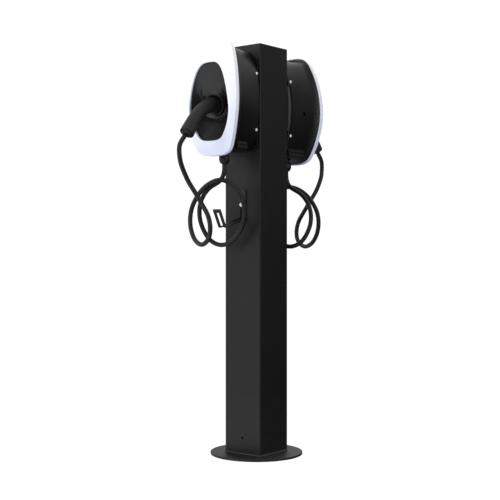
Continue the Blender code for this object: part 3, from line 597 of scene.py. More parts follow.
# ================================================================ kinds of finish
# `rough` is the lowest and highest roughness.
def powder_coat(name, colour, rough=(.38, .52), dust=True):
    f = Finish(name, colour, sum(rough) / 2)
    broad = f.between(f.noise(scale=2.3, detail=3), low=.3, high=.7)
    mottle = f.between(f.noise(scale=38, detail=5), low=.45, high=.75)
    base = f.mix(broad, tint(colour, gain=.86), tint(colour, gain=1.16))
    base = f.mix(f.times(mottle, .35), base, tint(colour, gain=1.35))
    if dust:
        low = f.remap(f.position()["Z"], start=.22, end=.0)
        patchy = f.times(low, f.noise(scale=26, detail=6, roughness=.65))
        dust_colour = (.16, .155, .145)
        base = f.mix(f.times(patchy, .07, clamp=True), base, dust_colour)
    breaks = f.between(f.noise(scale=60), low=.42, high=.62)
    worn = f.times(f.edge(radius=.0016), breaks)
    base = f.mix(f.times(worn, .55), base, tint(colour, gain=3.6))
    f.set("Base Color", base)
    f.roughness(f.noise(scale=14), rough)
    f.bump(f.noise(scale=520, detail=2, roughness=.5), strength=.12, distance=.0006)
    f.bump(f.noise(scale=1600, detail=2, roughness=.6), strength=.10, distance=.0003)
    f.set("Specular IOR Level", .30)
    return f.material


def painted_light_zone(f, level, inner, outer):
    """Painted light: 1 on a half ring below `level`, between two radii round the point x = 0, z =
    level.
    """
    x, _, z = f.position()

    def fade(value, start, width):
        return f.remap(value, start=start, end=start + width, smooth=True)
    drop = f.maths('SUBTRACT', level, z)
    tall = f.times(drop, 1.2)              # squashes the ring in height
    reach = f.maths('SQRT', f.maths('ADD', f.times(x, x), f.times(tall, tall)))
    zone = f.times(fade(reach, start=inner, width=.003), fade(drop, start=.004, width=.018))
    zone = f.times(zone, f.maths('SUBTRACT', 1.0, fade(reach, start=outer, width=.006)))
    patchy = f.maths('ADD', .75, f.times(f.noise(scale=60), .35))
    return f.times(zone, patchy, clamp=True)


def moulded(name, colour, rough=(.34, .5), grain=1500, grain_strength=.16, painted_light=None):
    f = Finish(name, colour, sum(rough) / 2)
    broad = f.between(f.noise(scale=5.5, detail=3), low=.3, high=.7)
    base = f.mix(broad, tint(colour, gain=.84), tint(colour, gain=1.18))
    specks = f.between(f.noise(scale=300, detail=2), low=.62, high=.72)
    base = f.mix(f.times(specks, .12), base, tint(colour, gain=1.9))
    worn = f.times(f.edge(radius=.0012), f.noise(scale=45, detail=3))
    base = f.mix(f.times(worn, .35), base, tint(colour, gain=2.8))
    # painted light where asked for: a lighter half ring below the mouth
    if painted_light:
        base = f.mix(painted_light_zone(f, **painted_light), base, tint(colour, gain=3.6))
    f.set("Base Color", base)
    f.roughness(f.noise(scale=22), rough)
    cells = f.node("ShaderNodeTexVoronoi")
    f.feed(cells.inputs["Scale"], grain)
    f.feed(cells.inputs["Vector"], f.coords)
    f.bump(cells.outputs["Distance"], strength=grain_strength, distance=.00025)
    f.bump(f.noise(scale=90, detail=3), strength=.05, distance=.0006)
    f.set("Specular IOR Level", .30)
    return f.material


def gloss_white(name, colour):
    """Lighter towards the top as painted light, with faint haze, grime and worn edges."""
    f = Finish(name, colour, rough=.3)
    lit_top_colour, grime_colour, worn_colour = (.965, .975, .985), (.55, .54, .5), (.62, .63, .70)
    # painted light: the base colour low down, fading to near white at the top
    rise = f.remap(f.position()["Z"], start=1.01, end=1.39)
    base = f.mix(rise, tint(colour, gain=.985), lit_top_colour)
    haze = f.between(f.noise(scale=9, detail=5), low=.35, high=.75)
    base = f.mix(f.times(haze, .10), base, tint(colour, gain=.90))
    grime = f.between(f.noise(scale=75, detail=6, roughness=.7), low=.60, high=.78)
    base = f.mix(f.times(grime, .05), base, grime_colour)
    base = f.mix(f.times(f.edge(radius=.0010), .10), base, worn_colour)
    f.set("Base Color", base)
    f.roughness(f.noise(scale=30), rough=(.24, .38))
    f.bump(f.noise(scale=700, detail=2), strength=.05, distance=.0003)
    f.bump(f.noise(scale=18, detail=2), strength=.04, distance=.0010)
    f.set("Coat Weight", .25)
    f.set("Coat Roughness", .16)
    return f.material


def rubber(name, colour, rough):
    f = Finish(name, colour, sum(rough) / 2)
    mottle = f.between(f.noise(scale=28), low=.3, high=.7)
    base = f.mix(mottle, tint(colour, gain=.8), tint(colour, gain=1.25))
    scuff = f.noise(scale=120, detail=5, roughness=.7, stretch=(1, 1, .35))
    scuff = f.between(scuff, low=.60, high=.75)
    base = f.mix(f.times(scuff, .22), base, tint(colour, gain=2.6))
    f.set("Base Color", base)
    f.roughness(f.noise(scale=55), rough)
    f.bump(f.noise(scale=900, detail=3, roughness=.6), strength=.14, distance=.0003)
    f.bump(f.noise(scale=70, detail=2), strength=.06, distance=.0006)
    f.set("Specular IOR Level", .30)
    return f.material


def metal(name, colour, rough, stretch=(1, 1, 1), grain=400, spotting=.3):
    f = Finish(name, colour, sum(rough) / 2, metallic=1)
    lines = f.noise(scale=grain, detail=3, roughness=.6, stretch=stretch)
    base = f.mix(lines, tint(colour, gain=.82), tint(colour, gain=1.12))
    spots = f.between(f.noise(scale=50, detail=5, roughness=.7), low=.60, high=.80)
    base = f.mix(f.times(spots, spotting), base, tint(colour, gain=.55))
    f.set("Base Color", base)
    f.roughness(f.noise(scale=80), rough)
    f.bump(lines, strength=.10, distance=.0002)
    return f.material


def printed_board(name):
    f = Finish(name, (.03, .16, .07), rough=.42)
    tracks = f.node("ShaderNodeTexBrick")
    for key, value in (("Scale", 55), ("Mortar Size", .05), ("Color1", (.02, .13, .06)),
                       ("Color2", (.03, .17, .08)), ("Mortar", (.10, .30, .12))):
        f.feed(tracks.inputs[key], value)
    upright = f.node("ShaderNodeMapping")
    upright.inputs["Rotation"].default_value = (math.pi / 2, 0, 0)
    f.feed(upright.inputs["Vector"], f.coords)
    f.feed(tracks.inputs["Vector"], upright.outputs["Vector"])
    pads = f.between(f.noise(scale=420, detail=1), low=.66, high=.70)
    pad_colour = (.62, .6, .45)
    f.set("Base Color", f.mix(pads, tracks.outputs["Color"], pad_colour))
    f.roughness(f.noise(scale=60), rough=(.3, .5))
    f.bump(tracks.outputs["Fac"], strength=.2, distance=.0003)
    return f.material


# ================================================================ finishes
PAINT = powder_coat("post_powder_coat", (.0024, .0025, .0027), rough=(.40, .55))
FOOT_PAINT = powder_coat("foot_powder_coat", (.0036, .0037, .0039), rough=(.40, .56))
HOOK_PAINT = powder_coat("hook_powder_coat", (.0030, .0030, .0032), rough=(.36, .5), dust=False)
CASE = moulded("casing_moulding", (.0020, .0020, .0024), rough=(.32, .46))
# painted light: the lip below the mouth is made lighter, standing in for the light it catches
FASCIA = moulded("fascia_moulding", (.0092, .0092, .0098), rough=(.40, .54), grain=1300,
                 painted_light=dict(level=1.1790, inner=.0380, outer=.0550))
HOLSTER = moulded("holster_moulding", (.0030, .0030, .0034), rough=(.40, .55))
COLLAR = moulded("collar_moulding", (.009, .009, .010), rough=(.48, .60))
GRIP = moulded("grip_moulding", (.0112, .0112, .0120), rough=(.44, .58), grain=1700,
               grain_strength=.12)
NOSE = moulded("nose_moulding", (.0035, .0035, .0040), rough=(.34, .46))
GLAND = moulded("gland_moulding", (.0055, .0055, .0060), rough=(.36, .5))
# the bluish base colour is painted cool fill light from below; it fades to near white higher up
WHITE = gloss_white("bezel_gloss_white", (.80, .845, 1.0))
SEAL = rubber("seal_rubber_black", (.0060, .0060, .0080), rough=(.6, .75))
CABLE = rubber("cable_jacket_black", (.0050, .0050, .0054), rough=(.40, .56))
RELIEF = rubber("relief_rubber_black", (.0090, .0090, .0096), rough=(.5, .65))
TRIM = rubber("trim_rubber_black", (.030, .030, .031), rough=(.4, .55))
BRIGHT = metal("fastener_bright_steel", (.93, .93, .93), rough=(.24, .36), spotting=.12)
# one coat in two copies: the front cheeks darker as painted shade, the rear cheeks grey as
# painted light on their lit edge
CHEEK = {"a": powder_coat("cheek_coat_painted_shade", (.0012, .0012, .0013), dust=False),
         "b": powder_coat("cheek_coat_painted_light", (.046, .046, .047), dust=False)}
DARK_STEEL = metal("lock_dark_steel", (.030, .030, .032), rough=(.40, .55))
PLAIN_STEEL = metal("plain_steel", (.40, .41, .42), rough=(.35, .5), stretch=(1, 1, .1),
                    grain=260)
BRASS = metal("contact_brass_plate", (.78, .62, .32), rough=(.2, .34))
BOARD = printed_board("board_solder_mask")
RELAY = moulded("contactor_moulding", (.22, .22, .23), rough=(.4, .55))
TERMINAL = moulded("terminal_moulding", (.48, .46, .38), rough=(.4, .55))

# CAD pieces that are kept, by the start of their names
CAD_FINISH = {"control_board": BOARD, "contactor": RELAY, "terminal_block": TERMINAL,
              "anchor_bolt": PLAIN_STEEL, "foot_socket": PLAIN_STEEL, "contact_block": BRASS}


def finish_cad_pieces():
    for name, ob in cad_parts.items():
        for start, finish in CAD_FINISH.items():
            if name.startswith(start):
                ob.data.materials.clear()
                ob.data.materials.append(finish)


def give(ob, finish, node=None, body="post"):
    """Sets a piece's finish, hangs it on its body and hides the CAD piece it stands for."""
    ob.data.materials.clear()
    ob.data.materials.append(finish)
    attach(ob, body)
    if node:
        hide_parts(node)


def give_side(ob, side, finish, node=None, body="post"):
    """The same for a charger piece, first turned to its own side."""
    ob.data.transform(TURN[side])
    give(ob, finish, f"{node}_{side}" if node else None, body)


# ================================================================ column and foot
def column():
    bevel, top, bore = .0007, POST_TOP - .0002, POST_HALF - POST_WALL
    sections = ((POST_HALF - bevel, POST_CORNER - bevel, top),     # half width, corner, z
                (POST_HALF, POST_CORNER, top - bevel),
                (POST_HALF, POST_CORNER, .70),
                (POST_HALF, POST_CORNER, POST_FOOT + bevel),
                (POST_HALF - bevel, POST_CORNER - bevel, POST_FOOT),
                (bore, .0015, POST_FOOT),
                (bore, .0015, top))
    rings = [level_at(z, rounded_square(half, corner)) for half, corner, z in sections]
    ob = loft("post_column_skin", rings, closed=True)
    holes = [(LOCK_HOLE_RADIUS, (0, -.09, LOCK_Z), (0, .09, LOCK_Z))]
    for side, sign in SIGN.items():
        for radius, z in ((WIRE_RADIUS, WIRE_Z), (HOOK_HOLE_RADIUS, HOOK_BOLT_Z)):
            z -= DROP[side]
            holes.append((radius, (0, sign * .05, z), (0, sign * .1, z)))
    drill(ob, holes)
    sharpen(ob, 25)
    give(ob, PAINT, "column")


def column_cap():
    half, bevel, low = POST_HALF - POST_WALL - .0005, .0008, POST_TOP - .0050
    sections = ((half - bevel, POST_TOP), (half, POST_TOP - bevel),      # half width, z
                (half, low + bevel), (half - bevel, low))
    rings = [level_at(z, rounded_square(size, .0016, 4)) for size, z in sections]
    ob = sharpen(loft("post_cap_plate", rings, capped=True), 30)
    give(ob, PAINT, "column_cap")


def foot_plate():
    bore, edge = FOOT_BORE, FOOT_EDGE_ROUND
    profile = [(bore, FOOT_THICK - .0006), (bore + .0006, FOOT_THICK), (.080, FOOT_THICK),
               (.120, FOOT_THICK), (FOOT_RADIUS - edge, FOOT_THICK)]
    for degrees in (22, 45, 68, 90):
        a = math.radians(degrees)
        profile.append((FOOT_RADIUS - edge + edge * math.sin(a),
                        FOOT_THICK - edge + edge * math.cos(a)))
    profile += [(FOOT_RADIUS, .0010), (FOOT_RADIUS - .0004, .0003), (FOOT_RADIUS - .0012, 0),
                (bore + .0006, 0), (bore, .0006)]
    ob = turned("foot_plate_skin", profile, 144)
    spots = [(sx * ANCHOR_OFFSET, sy * ANCHOR_OFFSET) for sx in (-1, 1) for sy in (-1, 1)]
    drill(ob, [(ANCHOR_HOLE_RADIUS, (x, y, -.01), (x, y, .03)) for x, y in spots])
    sharpen(ob, 28)
    give(ob, FOOT_PAINT, "foot_plate")


def foot_trim():
    """Bead round the foot of the post."""
    inner, outer, low = POST_HALF + .0004, POST_HALF + .0032, FOOT_THICK + .0004
    section = ((inner, .0118), (inner + .0010, .0119), (inner + .0019, .0113),     # half, z
               (outer - .0003, .0103), (outer, .0095), (outer, low), (inner, low))
    rings = [level_at(z, rounded_square(half, POST_CORNER + half - POST_HALF))
             for half, z in section]
    ob = sharpen(loft("foot_trim_bead", rings, closed=True), 50)
    give(ob, TRIM, "foot_trim")


def lock_screws():
    for side, sign in SIGN.items():
        at = along((0, sign, 0), (0, sign * (POST_HALF - .0051), LOCK_Z))
        ob = socket_head("lock_grub_screw_" + side, at, radius=.0036, height=.0012, key=.0017,
                         shank_radius=.0034, shank=.0080, count=36)
        give(ob, DARK_STEEL, "lock_screw_" + side)


# ================================================================ charger: back plate, casing
def cheek_bulge(z):
    """1 at mid height of a cheek, 0 at its ends."""
    t = (z - CHEEK_MID) / CHEEK_HALF
    return max(0.0, 1 - t * t)


def cheek_heights(half):
    return [CHEEK_MID + half * (k / 16 - 1) for k in range(33)]


def back_plate(side):
    """A flat leaf with a bowed cheek down each side."""
    bevel = .0007
    rings = []
    for inset, out in ((bevel, PLATE_FRONT), (0, PLATE_FRONT - bevel),
                       (0, PLATE_BACK + bevel), (bevel, PLATE_BACK)):
        x, high, low = PLATE_HALF - inset, PLATE_HIGH - inset, PLATE_LOW + inset
        rings.append(flat_at(out, ((x, high), (x, low), (-x, low), (-x, high))))
    ob = loft("mount_plate_" + side, rings, capped=True)
    inner, bevel = .0620, .0008
    cheeks = []
    for s in (-1, 1):
        sections = []
        for z in cheek_heights(CHEEK_HALF):
            x = .0733 + .0062 * cheek_bulge(z)
            out = .0920 + CHEEK_BOW * cheek_bulge(z)
            sections.append([(s * inner, -CHEEK_BACK, z), (s * (x - bevel), -CHEEK_BACK, z),
                             (s * x, -CHEEK_BACK - bevel, z), (s * x, -out + bevel, z),
                             (s * (x - bevel), -out, z), (s * inner, -out, z)])
        cheeks.append(prism(sections))
    carve(ob, cheeks, 'UNION')
    drill(ob, [(WIRE_RADIUS, (0, -.1, WIRE_Z), (0, -.05, WIRE_Z))])
    sharpen(ob, 40)
    # the cheek coat differs between the sides only as painted shade and painted light
    give_side(ob, side, CHEEK[side], "back_plate")


def casing_loops():
    """Front lip to rear flange."""
    loops = []
    for depth in (0, .0015, .0035, .006, .009, .0125, .0165, .021, .026, .0305, FLARE_DEPTH):
        inset = FLARE_INSET * (1 - (1 - depth / FLARE_DEPTH) ** 1.9)
        loops.append(laid_on(lip_out, outline(CASE_LIP, -inset), depth))
    start, rear = loops[-1], outline(CASE_REAR)
    for out in (.1720, .1550, .1380, .1200, .1040, .0940, .0885):
        row = []
        for (x, y, z), (rear_x, rear_z) in zip(start, rear):
            f = (-y - out) / (-y - CASE_BACK)
            row.append((x + (rear_x - x) * f, -out, z + (rear_z - z) * f))
        loops.append(row)
    for depth, inset in ((.0014, .0001), (.0004, .0009), (0, .0022), (0, .0090)):
        loops.append(flat_at(CASE_BACK + depth, outline(CASE_REAR, -inset)))
    return loops


def cheek_windows():
    """Notches in the casing's rear edge that clear the cheeks."""
    windows = []
    for s in (-1, 1):
        sections = []
        for z in cheek_heights(CHEEK_HALF + .0008):
            out = .0925 + CHEEK_BOW * cheek_bulge(z)
            sections.append([(s * .0600, -.0800, z), (s * .1000, -.0800, z),
                             (s * .1000, -out, z), (s * .0600, -out, z)])
        windows.append(prism(sections))
    return windows


def casing_pads():
    """Two bars, one over the other, low on each side of the casing."""
    bevel, inner, gap_low, gap_high = .0010, .0410, 1.0486, 1.0494

    def pad_x(z):
        return PAD_X - .0018 * (z - PAD_LOW) / .022
    pads = []
    for s, back in PAD_BACK:
        for low, high in ((PAD_LOW, gap_low), (gap_high, PAD_HIGH)):
            x0, x1 = pad_x(low), pad_x(high)
            sections = []
            for out, inset in ((back, bevel), (back + bevel, 0),
                               (PAD_FRONT - bevel, 0), (PAD_FRONT, bevel)):
                sections.append([(s * x, -out, z) for x, z in (
                    (inner, low), (x0 - bevel - inset, low), (x0 - inset, low + bevel),
                    (x1 - inset, high - bevel), (x1 - bevel - inset, high), (inner, high))])
            pads.append(prism(sections))
    return pads


def casing(side):
    ob = loft("casing_shell_" + side, casing_loops())
    aim_normals(ob, lambda face: face.normal.dot(
        Vector((face.center.x, 0, face.center.z - CASE_MID_Z))))
    thicken(ob, CASE_WALL)
    carve(ob, cheek_windows())
    carve(ob, casing_pads(), 'UNION')
    holes = [(GLAND_HOLE_RADIUS, (0, -GLAND_OUT, 1.000), (0, -GLAND_OUT, 1.060))]
    pilots = []
    for _, z, out, x in SIDE_SCREWS:
        for s in (-1, 1):
            holes.append((.0074, (s * (x - .0016), -out, z), (s * (x + .03), -out, z)))
            pilots.append((.0030, (s * (x - .02), -out, z), (s * (x + .01), -out, z)))
    holes.append((.0070, (-.0800, -VENT_OUT, VENT_Z), (-.120, -VENT_OUT, VENT_Z)))
    drill(ob, holes)
    drill(ob, pilots)
    sharpen(ob, 30)
    give_side(ob, side, CASE, "casing")


def vent_plug(side):
    profile = [(0, -.0012), (.0030, -.0012), (.0034, 0), (.0060, 0), (.0067, -.0006),
               (.0067, -.0050), (0, -.0050)]
    at = along((-1, 0, 0), (-VENT_X, -VENT_OUT, VENT_Z))
    ob = turned("vent_plug_" + side, profile, 32, at, closed=False)
    give_side(ob, side, SEAL)


def side_screws(side):
    for label, z, out, x in SIDE_SCREWS:
        for hand, s in (("l", -1), ("r", 1)):
            at = along((s, 0, 0), (s * (x - .0010), -out, z))
            ob = socket_head(f"side_screw_head_{label}_{hand}_{side}", at, radius=.0056,
                             height=.0046, key=.0021, shank_radius=.0024, shank=.0165)
            give_side(ob, side, BRIGHT, f"side_screw_{label}_{hand}")


# ================================================================ charger: bezel and seal
def bezel(side):
    """Outer edge with a groove, bowed front, rounded opening, then the back."""
    def edge_ring(grow, depth):
        return laid_on(bezel_out, outline(BEZEL_EDGE, grow), depth)

    def opening_ring(grow, depth):
        return laid_on(face_out, outline(OPENING, grow), depth)

    def bridge(outer, inner, f, lift, depth):
        """A ring a share f of the way from the outer loop to the inner one."""
        ring = []
        for (x0, z0), (x1, z1) in zip(outer, inner):
            out = blend(bezel_out(z0) + lift, face_out(z1), f)
            out += .0011 * math.sin(math.pi * f) - depth
            ring.append((blend(x0, x1, f), -out, blend(z0, z1, f)))
        return ring
    edge_rings = ((-.0006, BEZEL_DEEP), (0, BEZEL_DEEP - .0007), (0, .0110), (0, .0066),
                  (-.0007, .0061), (-.0007, .0055), (0, .0050))         # grow, depth
    rings = [edge_ring(grow, depth) for grow, depth in edge_rings]
    edge_round, opening_round, lift = .0018, .0030, .0002
    for degrees in (0, 25, 50, 72):
        a = math.radians(degrees)
        rings.append(edge_ring(-edge_round * (1 - math.cos(a)),
                               edge_round * (1 - math.sin(a)) - lift))
    outer, inner = outline(BEZEL_EDGE, -.0026), outline(OPENING, .0036)
    rings += [bridge(outer, inner, k / 12, lift, 0) for k in range(1, 12)]
    for degrees in (90, 70, 48, 24, 0):
        a = math.radians(degrees)
        rings.append(opening_ring(opening_round * (1 - math.cos(a)),
                                  opening_round * (1 - math.sin(a))))
    rings += [opening_ring(grow, depth)
              for grow, depth in ((0, .0098), (.0004, .0102), (.0026, .0102))]
    outer, inner = outline(BEZEL_EDGE, -.0040), outline(OPENING, .0060)
    rings += [bridge(outer, inner, f, 0, .0034) for f in (.9, .6, .3, .1)]
    rings += [edge_ring(-.0030, depth) for depth in (.0062, BEZEL_DEEP)]
    ob = sharpen(loft("bezel_ring_" + side, rings, closed=True), 60)
    give_side(ob, side, WHITE, "bezel")


def bezel_seal(side):
    section = ((.0014, .0018), (.0040, .0110), (.0060, .0110), (.0060, .0018))
    rings = [laid_on(lip_out, outline(CASE_LIP, -inset), -rise) for inset, rise in section]
    ob = sharpen(loft("bezel_gasket_" + side, rings, closed=True), 40)
    give_side(ob, side, SEAL, "bezel_seal")


# ================================================================ charger: fascia and holster
EDGE_SINK = .0062            # fascia edge behind the face, least, near the top
DISH_STEPS = 24              # from the mouth's rim to the fascia's edge
HOOD_PLANE = .2372           # out, where the raised part starts above the mouth


def edge_sink(z):
    return EDGE_SINK + .0056 * (1 - step(z, 1.120, 1.225))


def fascia_edge(z):
    return face_out(z) - edge_sink(z)


def fascia_edge_back(z):
    return fascia_edge(z) - .0012 - .30 * (edge_sink(z) - EDGE_SINK)


def mouth_rim(cos_a, sin_a, hood, low):
    """Points across the rim at one angle; hood and low are the shares of hood and lower lip."""
    slant = (.0085 if cos_a > 0 else .0062) * cos_a

    def at(radius, axial):
        p = MOUTH + MOUTH_UP * (radius * cos_a) + Vector((radius * sin_a, 0, 0))
        return p + MOUTH_AXIS * (axial + slant)
    # the lower lip's edge is an ellipse, narrower on the right, and lies lower there
    lip_half, lip_drop = .0680 - .0120 * step(sin_a, 0, .5), .0487
    width = .0034 + (1 / math.hypot(sin_a / lip_half, cos_a / lip_drop) - .0422) * low
    fall = .0150 - .0010 * low
    lift = low * (1 - .9 * step(sin_a, -.15, .45))
    side_rim = [(radius + width * share, axial + extra * lift)
                for radius, share, axial, extra in SIDE_RIM]
    side_rim.append((.0388 + width, -.0030 - fall * .55))
    points = [at(blend(side[0], over[0], hood), blend(side[1], over[1], hood))
              for over, side in zip(HOOD_RIM, side_rim)]
    points.append(points[-1].lerp(at(.0412 + width, -.0040 - fall), 1 - hood))
    return points


def dish_point(root, far, f, cos_a, hood, low):
    """A point a share f of the way from the rim's root to the fascia's edge."""
    p = root.lerp(far, f)
    valley = blend(root.y, far.y, f ** (1.7 - .5 * low))
    plane = blend(-HOOD_PLANE, far.y, f ** 1.6)
    high = blend(root.y, plane, step(f, 0, .25))
    skirt = .0510 - .47 * (p.z - 1.204)        # half width of the raised part at this height
    beside = step(abs(p.x), skirt - .004, skirt + .009) * (1 - step(p.z, 1.238, 1.264))
    raised = max((1 - beside) * step(cos_a, .30, .48), .45 * step(p.z, 1.200, 1.245))
    p.y = blend(valley, high, blend(hood, raised, step(f, 0, .22)))
    return p


def fascia(side):
    """Dished panel, with a hood above the mouth and a raised lip below it."""
    edge = laid_on(fascia_edge, outline(OPENING, -.0006))
    edge_back = laid_on(fascia_edge_back, outline(OPENING, -.0018))
    columns = []
    for i in range(STATIONS):
        angle = 2 * math.pi * i / STATIONS
        cos_a, sin_a = math.cos(angle), math.sin(angle)
        hood, low = step(cos_a, .22, .70), step(-cos_a, .22, .60)
        near, far = Vector(edge[i]), Vector(edge_back[i])
        points = mouth_rim(cos_a, sin_a, hood, low)
        root = points[-1]
        points += [dish_point(root, far, k / DISH_STEPS, cos_a, hood, low)
                   for k in range(1, DISH_STEPS)]
        columns.append(points + [far, far.lerp(near, .5), near])
    rows = [list(row) for row in zip(*columns)]
    # even out the dish between its columns
    for _ in range(5):
        for k in range(len(HOOD_RIM), len(rows) - 3):
            row = rows[k]
            rows[k] = [row[i] * .5 + (row[i - 1] + row[(i + 1) % STATIONS]) * .25
                       for i in range(STATIONS)]
    ob = loft("fascia_panel_" + side, rows)
    aim_normals(ob, lambda face: -face.normal.y)
    thicken(ob, .0020)
    sharpen(ob, 55)
    give_side(ob, side, FASCIA, "fascia")


def holster(side):
    """Stepped sleeve in the mouth, and the ring on its front."""
    at = along(MOUTH_AXIS, MOUTH)
    outer, bore = SLEEVE_RADIUS, SLEEVE_BORE
    sleeve = [(outer, -.0036), (outer, -.0126), (.0357, -.0126), (.0357, -.0146),
              (outer, -.0146), (outer, -.0520), (.0260, -.0580), (.0130, -.0580),
              (.0130, -.0550), (.0235, -.0550), (.0235, -.0275), (bore - .0006, -.0246),
              (bore, -.0236), (bore, -.0036)]
    ob = turned("holster_sleeve_" + side, sleeve, 72, at)
    give_side(ob, side, HOLSTER, "holster")
    ring = [(outer - .0004, -.0006), (outer - .0010, .0000), (outer - .0022, .0004),
            (bore + .0026, .0000), (bore + .0014, -.0008), (bore + .0010, -.0018),
            (bore + .0010, -.0030), (outer - .0004, -.0030)]
    ob = turned("holster_trim_ring_" + side, ring, 72, at)
    give_side(ob, side, COLLAR, "holster_collar")


# ================================================================ charger: gland
def gland(side):
    """Hexagonal base and ribbed dome nut under the casing."""
    at = Matrix.Translation((0, -GLAND_OUT, 0))

    def flats(radius, z, angle):
        on_hexagon = 1.0164 < z < 1.0230 and radius > .012
        return min(radius, hexagon(.016016, angle)) if on_hexagon else radius

    def ribs(radius, z, angle):
        if radius < .0150 or z < .9975:
            return radius
        return radius - .0008 * (.5 - .5 * math.cos(angle * 18))
    base = [(.0106, 1.0460), (.0106, 1.0234), (.0148, 1.0232), (.0155, 1.0226),
            (.0155, 1.0168), (.0149, 1.0162), (.0086, 1.0160), (.0086, 1.0460)]
    ob = turned("gland_base_" + side, base, 72, at, radius_at=flats)
    give_side(ob, side, GLAND, "gland_body")
    nut = [(.0086, 1.0155), (.0160, 1.0155), (.0170, 1.0150), (.0175, 1.0140),
           (.0175, 1.0020), (.0170, .9990), (.0158, .9960), (.0140, .9925), (.0118, .9900),
           (.0104, .9890), (.0090, .9890), (.0086, .9896)]
    ob = turned("gland_dome_nut_" + side, nut, 144, at, radius_at=ribs)
    give_side(ob, side, GLAND, "gland_nut")


# ================================================================ charger: connector and cable
def grip_radius(station):
    f = station / GRIP_LAST
    if f < .62:
        return blend(GRIP_NOSE, GRIP_WAIST, step(f, 0, .62))
    return blend(GRIP_WAIST, GRIP_TAIL, step(f, .62, 1.0))


def grip_shell(side, frames):
    """Outside from nose to tail, then back along the inside."""
    def loop(station, radius, shift=0.0):
        return circle_on(frames[station], radius, 56, shift)
    groove = .0006
    loops = [loop(0, GRIP_NOSE - .0012), loop(0, GRIP_NOSE - .0004, .0003),
             loop(0, GRIP_NOSE, .0012)]
    for i in range(1, GRIP_LAST - 2):
        loops.append(loop(i, grip_radius(i) - (groove if i in (20, 21) else 0)))
    for inset, shift in ((0, -.0040), (.0003, -.0022), (.0009, -.0012), (.0015, -.0010),
                         (.0019, -.0016), (.0020, -.0150)):
        loops.append(loop(GRIP_LAST, GRIP_TAIL - inset, shift))
    for i in range(GRIP_LAST - 10, 2, -6):
        loops.append(loop(i, grip_radius(i) - GRIP_WALL))
    loops.append(loop(0, GRIP_NOSE - GRIP_WALL, .0002))
    ob = sharpen(loft("grip_shell_" + side, loops, closed=True), 40)
    give_side(ob, side, GRIP, "grip", CONNECTOR[side])


def connector(side):
    """Grip, with the plug barrel at its nose and the cable relief at its tail."""
    line = relax(smooth_line([ahead(*knot) for knot in GRIP_LINE], GRIP_LAST + 1), 6)
    frames = frames_on(line)
    grip_shell(side, frames)
    barrel = [(.0206, .0320), (.0213, .0318), (.0219, .0308), (.0219, .0000),
              (.0219, -.0110), (.0170, -.0110), (.0170, -.0080), (.0180, -.0060),
              (.0180, .0310), (.0186, .0320)]
    ob = turned("plug_barrel_" + side, barrel, 64, along(-frames[0][1], line[0]))
    give_side(ob, side, NOSE, "plug_nose", CONNECTOR[side])
    relief = [(.0088, .0050), (.0096, .0054), (.0108, .0048), (.0130, .0034), (.0160, .0016),
              (GRIP_TAIL - .0064, .0004), (GRIP_TAIL - .0054, -.0004),
              (GRIP_TAIL - .0050, -.0016), (GRIP_TAIL - .0050, -.0120),
              (GRIP_TAIL - .0056, -.0130), (.0088, -.0130)]
    ob = turned("tail_relief_" + side, relief, 64, along(frames[-1][1], line[-1]))
    give_side(ob, side, RELIEF, "strain_relief", CONNECTOR[side])


def cable(side):
    """One line cut in two: the lead runs on from the connector but is hung on no body, the coil
    stays with the post.
    """
    x, out, z = LEAD[0]
    inside_grip = (x, out - .0130, z + .0155)
    lead, coil = [[Vector((x, -out, z)) for x, out, z in part]
                  for part in ((inside_grip,) + LEAD, COIL)]
    join = (lead[-1] + coil[0]) * .5
    route = relax(smooth_line(lead + coil, CABLE_STATIONS), 30)
    frames = frames_on(route)
    cut = min(range(len(route)), key=lambda i: (route[i] - join).length)
    lead = tube("cable_lead_tube_" + side, frames[:cut + 1])
    coil = tube("cable_coil_tube_" + side, frames[cut:])
    give_side(coil, side, CABLE, "cable_coil")
    lead.data.transform(TURN[side])
    lead.data.materials.append(CABLE)
    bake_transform(lead)
    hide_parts("cable_lead_" + side)


# ================================================================ charger: strap hook
def round_bends(path, radius, steps=10):
    """The path with each inner corner turned into an arc."""
    points = [path[0]]
    for before, corner, after in zip(path, path[1:], path[2:]):
        u, v = (before - corner).normalized(), (after - corner).normalized()
        angle = u.angle(v)
        reach = radius / math.tan(angle / 2)
        centre = corner + (u + v).normalized() * (radius / math.sin(angle / 2))
        first = (corner + u * reach - centre).normalized()
        last = (corner + v * reach - centre).normalized()
        points += [centre + first.slerp(last, k / steps) * radius for k in range(steps + 1)]
    return points + [path[-1]]


